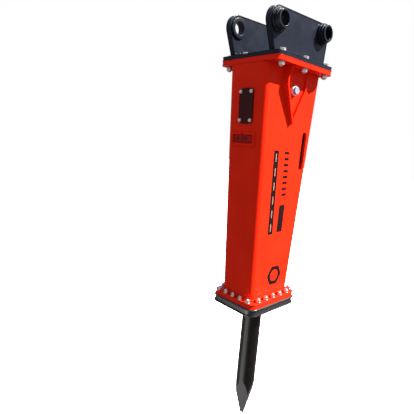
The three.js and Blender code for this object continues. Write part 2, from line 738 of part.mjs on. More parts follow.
const nameGroup = onFrontFace(nameFrameLevel);
piece('name_plate_frame', nameFrameGeometry(), redPaint, [0, 0, 0], nameGroup);
const plateSize = [
  2 * (NAME_FRAME.halfWidth - NAME_FRAME.bar - NAME_PLATE.margin[0]),
  NAME_PLATE.thickness,
  2 * (NAME_FRAME.halfHeight - NAME_FRAME.bar - NAME_PLATE.margin[1]),
];
const plateMiddle = -GAP - NAME_PLATE.thickness / 2;
piece('name_plate', new THREE.BoxGeometry(...plateSize), labelMetal, [0, plateMiddle, 0], nameGroup);

// ---------------------------------------------------------------- percussion cell

const boltPlaces = fourCorners(
  CELL_HALF[0] - THROUGH_BOLT.inset[0],
  CELL_HALF[1] - THROUGH_BOLT.inset[1],
);
const throughBoltLow = frontHeadTop - THROUGH_BOLT.depth;
const toolRadius = TOOL_DIAMETER / 2;
const bushInner = toolRadius + RUNNING_CLEARANCE;
const bushOuter = toolRadius + BUSH_WALL;
const bushSeat = bushOuter + PRESS_CLEARANCE;
const toolPassage = bushInner + 4;
const pinOffset = toolRadius - TOOL_NOTCH_DEPTH + TOOL_PIN.radius + RUNNING_CLEARANCE;

/** A cell block: a rectangle with cut corners between two levels. */
function cellBlock(low, high) {
  const [x, y] = CELL_HALF;
  const c = CELL_CHAMFER;
  const shape = polygon([
    [x - c, -y], [x, c - y], [x, y - c], [x - c, y],
    [c - x, y], [-x, y - c], [-x, c - y], [c - x, -y],
  ]);
  return solid(upright(shape, low, high));
}

/** Holes for the four through bolts between two levels. */
function throughBoltHoles(low, high) {
  const radius = THROUGH_BOLT.radius + BOLT_HOLE_CLEARANCE;
  return boltPlaces.map((place) => bar('z', radius, low, high, place, COARSE));
}

/** Front head: holds the tool's two bushes and its two retaining pins. */
function frontHeadGeometry() {
  const lowerSeatTop = cellBottom + GAP + LOWER_BUSH_LENGTH;
  const upperSeatLow = frontHeadTop - UPPER_BUSH_LENGTH - GAP;
  const pinRadius = TOOL_PIN.radius + PRESS_CLEARANCE;
  const reach = CELL_HALF[0] + 1;
  const pins = [-1, 1].map((side) => (
    bar('x', pinRadius, -reach, reach, [side * pinOffset, toolPinLevel])));
  return geometryOf(cut(
    cellBlock(cellBottom, frontHeadTop),
    bar('z', toolPassage, cellBottom - 1, frontHeadTop + 1, [0, 0], FINE),
    bar('z', bushSeat, cellBottom - 1, lowerSeatTop, [0, 0], FINE),
    bar('z', bushSeat, upperSeatLow, frontHeadTop + 1, [0, 0], FINE),
    ...pins,
    ...throughBoltHoles(throughBoltLow - 2, frontHeadTop + 1),
  ));
}

/** Cylinder: the piston's guide, with the seal seat, the valve port and the accumulator port. */
function cylinderGeometry() {
  const low = frontHeadTop + GAP;
  const bore = PISTON_LAND_RADIUS + RUNNING_CLEARANCE;
  const boreLow = landLow - OIL_CHAMBER;
  const valvePort = bar('y', SPOOL.radius / 2, -CELL_HALF[1] - 1, 0, [0, valvePortLevel], COARSE);
  const accumulatorPort = bar('y', SPOOL.radius / 2, 0, CELL_HALF[1] + 1, [0, accumulatorLevel], COARSE);
  return geometryOf(cut(
    cellBlock(low, cylinderTop),
    bar('z', toolRadius + 8, low - 1, pistonLow + 30, [0, 0], FINE),
    bar('z', PISTON_SHAFT_RADIUS + RUNNING_CLEARANCE, low - 1, boreLow + 1, [0, 0], FINE),
    bar('z', bore, boreLow, retainerLow, [0, 0], FINE),
    bar('z', RETAINER.radius + PRESS_CLEARANCE, retainerLow - GAP, cylinderTop + 1, [0, 0], FINE),
    valvePort,
    accumulatorPort,
    ...throughBoltHoles(low - 1, cylinderTop + 1),
  ));
}

/** Back head: the gas chamber, the two hose ports and the charging valve's seat. */
function backHeadGeometry() {
  const low = cylinderTop + GAP;
  const [halfX, halfY] = CELL_HALF;
  const ports = [[-halfX - 1, -halfX + PORT.thread], [halfX - PORT.thread, halfX + 1]];
  return geometryOf(cut(
    cellBlock(low, backHeadTop),
    bar('z', GAS_CHAMBER_RADIUS, low - 1, gasChamberTop, [0, 0], FINE),
    ...ports.map(([from, to]) => bar('x', PORT.stemRadius + PRESS_CLEARANCE, from, to, [0, portLevel])),
    bar('y', GAS_VALVE.radius + PRESS_CLEARANCE, -halfY - 1, GAS_VALVE.seat - halfY, [0, gasValveLevel]),
    bar('y', GAS_VALVE.radius / 3, -halfY, 0, [0, gasValveLevel], COARSE),
    ...throughBoltHoles(low - 1, backHeadTop + 1),
  ));
}

/** Through bolt with its nut, from the front head to the top of the back head. */
function throughBoltGeometry() {
  const nutLow = backHeadTop + GAP;
  const nutHigh = nutLow + THROUGH_BOLT.nut;
  return geometryOf(union(
    bar('z', THROUGH_BOLT.radius, throughBoltLow, nutHigh + 2, [0, 0], COARSE),
    hexagon(THROUGH_BOLT.acrossFlats, nutLow, nutHigh),
  ));
}

/** Piston: striking shaft, two lands with a waist between them, and a tail in the gas chamber. */
function pistonGeometry() {
  const { height } = PISTON_LANDS;
  return turned([
    [0, pistonLow],
    [PISTON_SHAFT_RADIUS - 4, pistonLow],
    [PISTON_SHAFT_RADIUS, pistonLow + 4],
    [PISTON_SHAFT_RADIUS, landLow],
    [PISTON_LAND_RADIUS, landLow],
    [PISTON_LAND_RADIUS, landLow + height],
    [PISTON_WAIST_RADIUS, landLow + height],
    [PISTON_WAIST_RADIUS, landHigh - height],
    [PISTON_LAND_RADIUS, landHigh - height],
    [PISTON_LAND_RADIUS, landHigh],
    [PISTON_TAIL_RADIUS, landHigh],
    [PISTON_TAIL_RADIUS, pistonTop],
    [0, pistonTop],
  ]);
}

const hexFrom = HOUSING_TOP_HALF[0] - PORT_HEX_SUNK;

/** Hose port adapter along +X: a stem into the back head and a hexagon outside the housing. */
function portAdapterGeometry() {
  const stem = bar('z', PORT.stemRadius, CELL_HALF[0] - PORT.thread + 2, hexFrom + 1, [0, 0], MEDIUM);
  const collar = hexagon(PORT.hexRadius * Math.sqrt(3), hexFrom, hexFrom + PORT.hexLength);
  return geometryOf(union(stem, collar)).rotateY(Math.PI / 2);
}

/** Round protective cap on the adapter's mouth. */
function portCapGeometry() {
  const low = hexFrom + PORT.hexLength + GAP;
  return geometryOf(bar('z', PORT.capRadius, low, low + PORT.capLength, [0, 0], MEDIUM)).rotateY(Math.PI / 2);
}

/** Tool: a round bar with two pin notches, ground to a blunt four-sided point. */
function toolGeometry() {
  const low = -TOOL_EXPOSED;
  const body = solid(turned([
    [0, low],
    [toolRadius, low],
    [toolRadius, toolHeadLevel - TOOL_EDGE],
    [toolRadius - TOOL_EDGE, toolHeadLevel],
    [0, toolHeadLevel],
  ]));
  const notchTop = toolPinLevel + TOOL_PIN.radius + 2 * GAP;
  const notchLow = toolPinLevel - TOOL_PIN.radius - TOOL_FLOAT - 2 * GAP;
  const flat = toolRadius - TOOL_NOTCH_DEPTH;
  const notches = [[flat, toolRadius + 1], [-toolRadius - 1, -flat]].map(([from, to]) => (
    block([-toolRadius, from, notchLow], [toolRadius, to, notchTop])));
  return geometryOf(cut(body.intersect(pointEnvelope()), ...notches));
}

/** The square pyramid that the tool's point is cut to, open far above the point. */
function pointEnvelope() {
  const growth = (toolRadius - TOOL_END_WIDTH / 2) / TOOL_POINT_LENGTH;
  const height = TOOL_EXPOSED + toolHeadLevel + 10;
  const topHalf = TOOL_END_WIDTH / 2 + growth * height;
  const corner = Math.SQRT2;
  const pyramid = new THREE.CylinderGeometry(topHalf * corner, TOOL_END_WIDTH / 2 * corner, height, 4);
  pyramid.rotateX(Math.PI / 2);
  pyramid.rotateZ(Math.PI / 4 + THREE.MathUtils.degToRad(TOOL_POINT_TURN));
  return solid(pyramid.translate(0, 0, height / 2 - TOOL_EXPOSED));
}

/** Valve housing on the cylinder's front, with the spool's bore open at the top. */
function valveHousingGeometry() {
  const near = -CELL_HALF[1] - GAP;
  const { halfWidth, depth, foot } = VALVE_BOX;
  const axis = [0, near - depth / 2];
  return geometryOf(cut(
    block([-halfWidth, near - depth, spoolLow - foot], [halfWidth, near, valveBoxTop]),
    bar('z', SPOOL.radius + RUNNING_CLEARANCE, spoolLow - 6, valveBoxTop + 1, axis),
    bar('y', SPOOL.radius / 2, axis[1], near + 1, [0, valvePortLevel], COARSE),
  ));
}

/** Valve spool with two lands, its zero at its lower end. */
function valveSpoolGeometry() {
  const { length } = SPOOL;
  const waist = SPOOL.radius * 0.7;
  return turned([
    [0, 0],
    [SPOOL.radius, 0],
    [SPOOL.radius, SPOOL.land],
    [waist, SPOOL.land],
    [waist, length - SPOOL.land],
    [SPOOL.radius, length - SPOOL.land],
    [SPOOL.radius, length],
    [0, length],
  ], MEDIUM);
}

/** Plug that closes the valve bore, its zero at the valve housing's top face. */
function valvePlugGeometry() {
  return geometryOf(union(
    bar('z', SPOOL.radius + RUNNING_CLEARANCE - PRESS_CLEARANCE, -PLUG_DEPTH, 1, [0, 0]),
    hexagon(SPOOL.radius * 2.6, GAP, PLUG_DEPTH / 2),
  ));
}

const accumulatorFace = CELL_HALF[1] + GAP;
const diaphragmThickness = 5;

/** Accumulator body along +Y: a thick cup whose bowl faces the diaphragm, with a port to the cylinder. */
function accumulatorBodyGeometry() {
  const { radius, depth } = ACCUMULATOR;
  return geometryOf(solid(turned([
    [SPOOL.radius / 2, 0],
    [radius, 0],
    [radius, depth],
    [radius - ACCUMULATOR.lip, depth],
    [radius * 0.5, depth * 0.45],
    [SPOOL.radius / 2, depth * 0.45],
  ], MEDIUM).rotateX(-Math.PI / 2)));
}

/** Accumulator cover, a domed disc with its own shallow bowl and a charging hole. */
function accumulatorCoverGeometry() {
  const { radius, cover } = ACCUMULATOR;
  const charge = SPOOL.radius / 4;
  return geometryOf(solid(turned([
    [charge, cover * 0.4],
    [radius * 0.5, cover * 0.4],
    [radius - ACCUMULATOR.lip, 0],
    [radius, 0],
    [radius, cover * 0.6],
    [radius * 0.7, cover],
    [charge, cover],
  ], MEDIUM).rotateX(-Math.PI / 2)));
}

/** Gas charging valve along -Y: a stem in the back head and a hexagon outside it. */
function gasValveGeometry() {
  const stem = bar('z', GAS_VALVE.radius, 2 - GAS_VALVE.seat, 1, [0, 0], MEDIUM);
  const head = hexagon(GAS_VALVE.radius * 2.4, GAP, GAS_VALVE.length - GAS_VALVE.seat);
  return geometryOf(union(stem, head)).rotateX(Math.PI / 2);
}

piece('front_head', frontHeadGeometry(), forgedSteel);
piece('cylinder', cylinderGeometry(), forgedSteel);
piece('back_head', backHeadGeometry(), forgedSteel);
boltPlaces.forEach(([x, y], i) => {
  piece(`through_bolt_${i + 1}`, throughBoltGeometry(), forgedSteel, [x, y, 0]);
});

const upperBushLow = frontHeadTop - UPPER_BUSH_LENGTH;
const lowerBush = ring(bushInner, bushOuter, cellBottom + GAP, cellBottom + LOWER_BUSH_LENGTH);
piece('tool_lower_bush', geometryOf(lowerBush), bronze);
piece('tool_upper_bush', geometryOf(ring(bushInner, bushOuter, upperBushLow, frontHeadTop - GAP)), bronze);
for (const [side, label] of [[-1, 'front'], [1, 'back']]) {
  const length = 2 * (CELL_HALF[0] - TOOL_PIN.short);
  const pin = new THREE.CylinderGeometry(TOOL_PIN.radius, TOOL_PIN.radius, length, MEDIUM);
  piece(`tool_pin_${label}`, pin.rotateZ(-Math.PI / 2), groundSteel, [0, side * pinOffset, toolPinLevel]);
}
piece('tool', toolGeometry(), toolSteel);
piece('piston', pistonGeometry(), groundSteel);
const retainerInner = PISTON_TAIL_RADIUS + RUNNING_CLEARANCE;
const retainer = ring(retainerInner, RETAINER.radius, retainerLow + GAP, cylinderTop - GAP);
piece('seal_retainer', geometryOf(retainer), groundSteel);

const valveAxis = -CELL_HALF[1] - GAP - VALVE_BOX.depth / 2;
piece('valve_housing', valveHousingGeometry(), forgedSteel);
piece('valve_spool', valveSpoolGeometry(), groundSteel, [0, valveAxis, spoolLow]);
piece('valve_plug', valvePlugGeometry(), groundSteel, [0, valveAxis, valveBoxTop]);

const diaphragmFrom = accumulatorFace + ACCUMULATOR.depth + GAP;
const coverFrom = diaphragmFrom + diaphragmThickness + GAP;
const diaphragmMiddle = diaphragmFrom + diaphragmThickness / 2;
const { radius: accumulatorRadius } = ACCUMULATOR;
const disc = [accumulatorRadius, accumulatorRadius, diaphragmThickness, MEDIUM];
const diaphragm = new THREE.CylinderGeometry(...disc);
piece('accumulator_body', accumulatorBodyGeometry(), forgedSteel, [0, accumulatorFace, accumulatorLevel]);
piece('accumulator_diaphragm', diaphragm, polyurethane, [0, diaphragmMiddle, accumulatorLevel]);
piece('accumulator_cover', accumulatorCoverGeometry(), forgedSteel, [0, coverFrom, accumulatorLevel]);
piece('gas_valve', gasValveGeometry(), bronze, [0, -CELL_HALF[1], gasValveLevel]);

for (const [side, label] of [[1, 'in'], [-1, 'out']]) {
  const port = new THREE.Group();
  port.position.z = portLevel;
  port.rotation.z = side > 0 ? 0 : Math.PI;
  stack.add(port);
  piece(`port_adapter_${label}`, portAdapterGeometry(), zincSteel, [0, 0, 0], port);
  piece(`port_cap_${label}`, portCapGeometry(), capPlastic, [0, 0, 0], port);
}

// ---------------------------------------------------------------- dampers and seal

const damperHole = bushOuter + 2;

/** Lower damper: the pad between the cell and the wear plate, around the dust seal. */
function lowerDamperGeometry() {
  const pad = centredBlock(grown(CELL_HALF, 2 - GAP), flangeBottom, flangeTop);
  return geometryOf(cut(pad, bar('z', damperHole, flangeBottom - 1, flangeTop + 1, [0, 0], FINE)));
}

/** Upper damper: the pad between the cell's top and the bracket base plate. */
function upperDamperGeometry() {
  const low = backHeadTop + THROUGH_BOLT.nut + 6;
  return geometryOf(centredBlock(grown(CELL_HALF, -2 - GAP), low, topFlangeTop));
}

piece('lower_damper', lowerDamperGeometry(), polyurethane);
piece('upper_damper', upperDamperGeometry(), polyurethane);
piece('dust_seal', geometryOf(ring(bushInner, damperHole - GAP, flangeBottom, flangeTop)), polyurethane);

export default breaker;
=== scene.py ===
"""Looks of a box-housed hydraulic breaker hammer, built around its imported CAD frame.

Metres, +Z up. The origin is the middle of the bracket base plate's top face, and the tool points down.
Every CAD node keeps its place and size. Outer nodes are replaced by finer meshes of the same shape.
"""
import json
import math

import bmesh
import bpy
from mathutils import Matrix, Vector

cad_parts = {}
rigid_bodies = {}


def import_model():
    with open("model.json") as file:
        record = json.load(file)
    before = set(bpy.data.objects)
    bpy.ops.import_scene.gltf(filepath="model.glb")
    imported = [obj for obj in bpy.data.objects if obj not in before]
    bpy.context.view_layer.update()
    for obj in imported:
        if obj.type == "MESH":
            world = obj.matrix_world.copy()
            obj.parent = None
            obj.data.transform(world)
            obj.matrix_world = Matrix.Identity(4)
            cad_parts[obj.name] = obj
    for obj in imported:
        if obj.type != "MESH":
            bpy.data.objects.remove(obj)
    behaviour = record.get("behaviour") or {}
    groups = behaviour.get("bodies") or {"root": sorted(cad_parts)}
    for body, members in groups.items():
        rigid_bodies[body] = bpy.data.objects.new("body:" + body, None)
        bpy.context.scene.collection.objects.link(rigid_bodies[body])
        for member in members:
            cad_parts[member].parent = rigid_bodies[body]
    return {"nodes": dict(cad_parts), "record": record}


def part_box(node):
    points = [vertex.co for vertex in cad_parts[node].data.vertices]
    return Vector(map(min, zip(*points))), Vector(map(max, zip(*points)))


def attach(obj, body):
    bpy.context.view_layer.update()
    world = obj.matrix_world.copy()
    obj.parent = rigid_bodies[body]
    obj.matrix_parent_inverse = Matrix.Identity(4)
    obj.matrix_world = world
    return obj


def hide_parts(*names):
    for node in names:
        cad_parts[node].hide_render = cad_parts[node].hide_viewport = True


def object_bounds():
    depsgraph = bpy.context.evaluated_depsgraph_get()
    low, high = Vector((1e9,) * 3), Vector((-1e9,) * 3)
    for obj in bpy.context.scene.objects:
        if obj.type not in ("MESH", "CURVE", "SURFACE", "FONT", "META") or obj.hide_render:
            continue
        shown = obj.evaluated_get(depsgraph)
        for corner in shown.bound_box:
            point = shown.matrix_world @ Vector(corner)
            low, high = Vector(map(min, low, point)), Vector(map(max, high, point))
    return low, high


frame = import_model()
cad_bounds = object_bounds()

BODY = "breaker_body"

# ------------ sizes that the frame's boxes don't give

HOUSING_BOTTOM_HALF = (0.137, 0.212)
HOUSING_TOP_HALF = (0.154, 0.300)
HOUSING_CORNER = 0.050
HOUSING_WALL = 0.016
CELL_HALF = (0.110, 0.160)
TOP_FLANGE_CORNER = 0.040
BOTTOM_FLANGE_CORNER = 0.058
BOLT_HOLE = 0.013
STUD_HOLE = 0.011
TOOL_HOLE = 0.075

EAR_MIDDLE = 0.159
EAR_THICKNESS = 0.040
EAR_FOOT = (-0.268, 0.262)
PIN_BORE = 0.0402
PINS = {"front": (-0.254, 0.174, 0.079), "back": (0.213, 0.201, 0.067)}  # y, z, the ear's radius round it

SLOT_Y = 0.183
SLOT_WIDTH = 0.050
SLOT_HIGH = -0.4372
SLOT_LOW = -0.6992
PORT_HOLE = 0.035
COVER_X = 0.014
COVER_HALF = (0.057, 0.099)
WINDOW_HALF = (0.032, 0.064)
COVER_ARCH = 0.009
GUARD_BEND_RISE = 0.022
FRAME_BAR = 0.012
FRAME_SLIT = 0.010

M24 = {"radius": 0.012, "across": 0.036, "pitch": 0.003, "washer": 0.022, "washer_thick": 0.003}
M20 = {"radius": 0.010, "across": 0.030, "pitch": 0.0025, "washer": 0.0185, "washer_thick": 0.003}
OUTER_HEAD = 0.015
INNER_HEAD = 0.032
STUD_NUT = 0.018
STUD_ROWS = 5
STUD_FRONT = (0.231, 0.067)  # the row's y and its pitch along x
STUD_SIDE = (0.166, 0.078)  # the row's x and its pitch along y

TOOL_RADIUS = 0.070
TOOL_POINT_LENGTH = 0.296
TOOL_END_WIDTH = 0.024
TOOL_POINT_TURN = math.radians(20)
TOOL_NOTCH = (0.052, 0.0654, 0.0262)  # flat's distance from the axis, reach below and above the pin's level

FINE = 96
CORNER_STEPS = 14
TINY = 1e-6
GAP = 0.0003  # between two pieces that rest on each other

shell_low, shell_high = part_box("housing_shell")
plate_low, plate_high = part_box("bracket_base_plate")
flange_low, flange_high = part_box("housing_top_flange")
foot_low, foot_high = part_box("housing_bottom_flange")
wear_low, wear_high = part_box("wear_plate")
tool_low, tool_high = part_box("tool")

front_slope = (HOUSING_TOP_HALF[1] - HOUSING_BOTTOM_HALF[1]) / (shell_high.z - shell_low.z)
side_slope = (HOUSING_TOP_HALF[0] - HOUSING_BOTTOM_HALF[0]) / (shell_high.z - shell_low.z)


def front_at(z):
    """Distance from the axis to the housing's front face at a height."""
    return HOUSING_BOTTOM_HALF[1] + front_slope * (z - shell_low.z)


def side_at(z):
    """Distance from the axis to the housing's side face at a height."""
    return HOUSING_BOTTOM_HALF[0] + side_slope * (z - shell_low.z)


def middle(node):
    """The middle of a CAD node's box."""
    low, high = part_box(node)
    return (low + high) / 2


# ------------ outlines, as lists of (x, y) points

def circle(radius, count=FINE, centre=(0, 0)):
    """A circle, counter-clockwise."""
    turns = [2 * math.pi * i / count for i in range(count)]
    return [(centre[0] + radius * math.cos(a), centre[1] + radius * math.sin(a)) for a in turns]


def arc(centre, radius, start, end, steps):
    """Points along an arc, angles in quarter turns."""
    angles = [(start + (end - start) * i / steps) * math.pi / 2 for i in range(steps + 1)]
    return [(centre[0] + radius * math.cos(a), centre[1] + radius * math.sin(a)) for a in angles]


def rounded_rectangle(half, radius, steps=CORNER_STEPS, centre=(0, 0)):
    """A rectangle with round corners, counter-clockwise."""
    x, y = half[0] - radius, half[1] - radius
    corners = [(x, y), (-x, y), (-x, -y), (x, -y)]
    points = []
    for quarter, (cx, cy) in enumerate(corners):
        points += arc((centre[0] + cx, centre[1] + cy), radius, quarter, quarter + 1, steps)
    return points


def slot_outline(centre, half_width, half_length, steps=12):
    """A slot with round ends, its length along the second axis."""
    reach = half_length - half_width
    top = arc((centre[0], centre[1] + reach), half_width, 0, 2, steps)
    return top + arc((centre[0], centre[1] - reach), half_width, 2, 4, steps)


def convex_outline(points):
    """The convex outline round a list of points, counter-clockwise."""
    ordered = sorted(points)

    def turn(o, a, b):
        return (a[0] - o[0]) * (b[1] - o[1]) - (a[1] - o[1]) * (b[0] - o[0])

    def chain(source):
        kept = []
        for point in source:
            while len(kept) > 1 and turn(kept[-2], kept[-1], point) <= TINY ** 2:
                kept.pop()
            kept.append(point)
        return kept[:-1]

    return chain(ordered) + chain(ordered[::-1])


def inset(points, amount):
    """An outline moved to its left by an amount, with mitred corners."""
    moved = []
    for i, point in enumerate(points):
        before, after = Vector(points[i - 1]), Vector(points[(i + 1) % len(points)])
        here = Vector(point)
        arriving, leaving = (here - before).normalized(), (after - here).normalized()
        normal_a = Vector((-arriving.y, arriving.x))
        normal_b = Vector((-leaving.y, leaving.x))
        share = max(0.3, 1 + normal_a.dot(normal_b))
        moved.append(tuple(here + (normal_a + normal_b) * (amount / share)))
    return moved


def softened(profile, radius, steps=3, closed=True):
    """A profile with each corner rounded by a short curve."""
    points = [Vector(p) for p in profile]
    made = []
    for i, here in enumerate(points):
        on_axis = here.x < TINY
        if on_axis or (not closed and i in (0, len(points) - 1)):
            made.append(tuple(here))
            continue
        before, after = points[i - 1], points[(i + 1) % len(points)]
        cut_a = min(radius, (before - here).length * 0.45)
        cut_b = min(radius, (after - here).length * 0.45)
        start = here + (before - here).normalized() * cut_a
        end = here + (after - here).normalized() * cut_b
        for step in range(steps + 1):
            t = step / steps
            made.append(tuple(start * (1 - t) ** 2 + here * 2 * t * (1 - t) + end * t * t))
    return made


# ------------ meshes

def place_at(origin, u=(1, 0, 0), v=(0, 1, 0)):
    """A matrix whose first two axes lie along u and v, with its origin at a point."""
    u, v = Vector(u).normalized(), Vector(v).normalized()
    w = u.cross(v)
    rows = [(u[i], v[i], w[i], origin[i]) for i in range(3)]
    return Matrix([*rows, (0, 0, 0, 1)])


def join(bm, below, above):
    """Faces between two rings with equal counts, or between a ring and a pole."""
    count = max(len(below), len(above))
    for i in range(count):
        j = (i + 1) % count
        if len(below) == 1:
            bm.faces.new((below[0], above[j], above[i]))
        elif len(above) == 1:
            bm.faces.new((below[i], below[j], above[0]))
        else:
            bm.faces.new((below[i], below[j], above[j], above[i]))


def ring_at(bm, points, level, matrix):
    """A ring of vertices at a level."""
    return [bm.verts.new(matrix @ Vector((x, y, level))) for x, y in points]


def fill(bm, rings):
    """A flat cap over an outline and the holes in it."""
    edges = []
    for ring in rings:
        for a, b in zip(ring, ring[1:] + ring[:1]):
            edges.append(bm.edges.get((a, b)))
    bmesh.ops.triangle_fill(bm, use_beauty=True, edges=edges)


def add_plate(bm, outer, holes, low, high, bevel=0.001, steps=3, matrix=Matrix()):
    """A flat plate from an outline and its holes, with every edge rounded."""
    profile = []
    for step in range(steps + 1):
        angle = math.pi / 2 * step / steps
        profile.append((low + bevel * (1 - math.sin(angle)), bevel * (1 - math.cos(angle))))
    profile += [(low + high - level, amount) for level, amount in reversed(profile)]
    bottoms, tops = [], []
    for loop in [outer, *[hole[::-1] for hole in holes]]:
        rings = [ring_at(bm, inset(loop, amount), level, matrix) for level, amount in profile]
        for below, above in zip(rings, rings[1:]):
            join(bm, below, above)
        bottoms.append(rings[0])
        tops.append(rings[-1])
    fill(bm, bottoms)
    fill(bm, tops)


def pole(bm, level, matrix):
    """A single vertex on the axis at a level."""
    return [bm.verts.new(matrix @ Vector((0, 0, level)))]


def add_turned(bm, profile, matrix=Matrix(), segments=FINE, closed=True):
    """A body of revolution from a profile of (radius, level) points."""
    rings = []
    for radius, level in profile:
        if radius < TINY:
            rings.append(pole(bm, level, matrix))
        else:
            rings.append(ring_at(bm, circle(radius, segments), level, matrix))
    pairs = list(zip(rings, rings[1:]))
    if closed and len(rings[0]) > 1:
        pairs.append((rings[-1], rings[0]))
    for below, above in pairs:
        if len(below) > 1 or len(above) > 1:
            join(bm, below, above)


def add_hexagon(bm, across, low, high, matrix=Matrix(), bore=0.0, chamfer_low=True, per_side=8):
    """A hexagon nut or bolt head with turned chamfers on its corners."""
    apothem = across / 2
    slope = math.tan(math.radians(30))
    crown = apothem * 0.96
    count = 6 * per_side
    angles = [2 * math.pi * i / count for i in range(count)]

    def reach(angle):
        return apothem / math.cos((angle + math.pi / 6) % (math.pi / 3) - math.pi / 6)

    def wall(level, sign):
        ring = []
        for a in angles:
            drop = (reach(a) - crown) * slope * sign
            point = Vector((reach(a) * math.cos(a), reach(a) * math.sin(a), level - drop))
            ring.append(bm.verts.new(matrix @ point))
        return ring

    top = ring_at(bm, circle(crown, count), high, matrix)
    bottom = ring_at(bm, circle(crown, count), low, matrix) if chamfer_low else None
    upper = wall(high, 1)
    lower = wall(low, -1 if chamfer_low else 0)
    join(bm, lower, upper)
    join(bm, upper, top)
    if chamfer_low:
        join(bm, bottom, lower)
    base = bottom or lower
    if bore:
        inner_top = ring_at(bm, circle(bore, count), high, matrix)
        inner_base = ring_at(bm, circle(bore, count), low, matrix)
        join(bm, top, inner_top)
        join(bm, inner_top, inner_base)
        join(bm, inner_base, base)
    else:
        join(bm, top, pole(bm, high, matrix))
        join(bm, pole(bm, low, matrix), base)


def add_washer(bm, inner, outer, low, high, matrix=Matrix(), segments=48):
    """A flat ring with softened edges."""
    profile = [(inner, low), (outer, low), (outer, high), (inner, high)]
    add_turned(bm, softened(profile, 0.0006, 2), matrix, segments)


def add_thread(bm, radius, low, high, pitch, matrix=Matrix(), around=28, per_turn=5):
    """A threaded rod: its radius follows a helix, and both ends are turned down."""
    depth = pitch * 0.5
    levels = max(2, round((high - low) / pitch * per_turn))
    rings = []
    for i in range(levels + 1):
        level = low + (high - low) * i / levels
        end = min(1, (level - low) / pitch + 0.25, (high - level) / pitch + 0.25)
        ring = []
        for k in range(around):
            phase = (level / pitch - k / around) % 1
            groove = depth * abs(2 * phase - 1)
            r = (radius - groove) * (0.8 + 0.2 * end)
            a = 2 * math.pi * k / around
            ring.append(bm.verts.new(matrix @ Vector((r * math.cos(a), r * math.sin(a), level))))
        rings.append(ring)
    for below, above in zip(rings, rings[1:]):
        join(bm, below, above)
    join(bm, pole(bm, low, matrix), rings[0])
    join(bm, rings[-1], pole(bm, high, matrix))


def along(points, step, closed):
    """Points evenly spaced along a line of points, each with its direction."""
    line = [Vector(p) for p in points]
    if closed:
        line.append(line[0])
    lengths = [0.0]
    for a, b in zip(line, line[1:]):
        lengths.append(lengths[-1] + (b - a).length)
    count = max(2, round(lengths[-1] / step))
    made = []
    segment = 0
    for i in range(count if closed else count + 1):
        at = lengths[-1] * i / count
        while segment < len(line) - 2 and lengths[segment + 1] < at:
            segment += 1
        a, b = line[segment], line[segment + 1]
        share = (at - lengths[segment]) / max((b - a).length, TINY)
        made.append((a.lerp(b, share), (b - a).normalized(), at))
    return made


def add_weld(bm, points, size, across, rise, closed=True, ripple=0.12, pitch=0.0055):
    """A fillet weld along a line, with the ripples that each pass of the arc leaves.

    across and rise give, from a point and its direction, the two unit vectors along the joined faces.
    """
    samples = along(points, pitch / 4, closed)
    section = 7
    rings = []
    for i, (point, forward, at) in enumerate(samples):
        phase = (at / pitch) % 1
        swell = 0.92 + ripple * math.sin(math.pi * phase) + 0.04 * math.sin(at * 170)
        if not closed:
            from_end = min(i, len(samples) - 1 - i)
            swell *= min(1, 0.35 + from_end * 0.11)
        u, v = across(point, forward), rise(point, forward)
        ring = [bm.verts.new(point - (u + v) * size * 0.25)]
        for k in range(section):
            t = k / (section - 1)
            bow = 0.20 * math.sin(math.pi * t)
            lag = forward * pitch * 0.45 * math.sin(math.pi * t)
            offset = u * ((1 - t) + bow) + v * (t + bow)
            ring.append(bm.verts.new(point + offset * size * swell - lag))
        rings.append(ring)
    for below, above in zip(rings, rings[1:]):
        join(bm, below, above)
    if closed:
        join(bm, rings[-1], rings[0])
    else:
        bm.faces.new(rings[0][::-1])
        bm.faces.new(rings[-1])


# ------------ pieces

def shade(mesh, angle=35):
    """Smooth faces, with the edges past an angle kept sharp."""
    mesh.polygons.foreach_set("use_smooth", [True] * len(mesh.polygons))
    mesh.set_sharp_from_angle(angle=math.radians(angle))


def mesh_of(bm, name):
    """The finished mesh of a builder, with its faces pointing out."""
    bmesh.ops.remove_doubles(bm, verts=bm.verts, dist=2e-6)
    bmesh.ops.dissolve_degenerate(bm, dist=1e-7, edges=bm.edges)
    bmesh.ops.recalc_face_normals(bm, faces=bm.faces)
    mesh = bpy.data.meshes.new(name)
    bm.to_mesh(mesh)
    bm.free()
    return mesh


def weighted(obj):
    """Normals that follow the large faces, so that flat faces look flat beside their rounded edges."""
    modifier = obj.modifiers.new("face_normals", "WEIGHTED_NORMAL")
    modifier.keep_sharp = True


def soften_edges(obj, name, width, angle, harden):
    """A narrow bevel on every edge sharper than an angle."""
    edges = obj.modifiers.new(name, "BEVEL")
    edges.width = width
    edges.segments = 2
    edges.limit_method = "ANGLE"
    edges.angle_limit = math.radians(angle)
    edges.harden_normals = harden


def add_piece(name, mesh, material, body=BODY, stands_for=(), location=(0, 0, 0), angle=35):
    """A piece of the object that rides on a body."""
    if not mesh.materials:
        mesh.materials.append(material)
        shade(mesh, angle)
    obj = bpy.data.objects.new(name, mesh)
    obj.location = location
    bpy.context.scene.collection.objects.link(obj)
    weighted(obj)
    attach(obj, body)
    if stands_for:
        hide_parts(*stands_for)
    return obj


def carved(target, cutters, operation="DIFFERENCE"):
    """A mesh after solid cuts, made once and kept as plain geometry."""
    obj = bpy.data.objects.new("carving", target)
    bpy.context.scene.collection.objects.link(obj)
    helpers = []
    for cutter in cutters:
        helper = bpy.data.objects.new("cutter", cutter)
        bpy.context.scene.collection.objects.link(helper)
        helpers.append(helper)
        modifier = obj.modifiers.new("cut", "BOOLEAN")
        modifier.operation = operation
        modifier.solver = "EXACT"
        modifier.object = helper
    graph = bpy.context.evaluated_depsgraph_get()
    made = bpy.data.meshes.new_from_object(obj.evaluated_get(graph))
    for helper in [obj, *helpers]:
        bpy.data.objects.remove(helper)
    return made


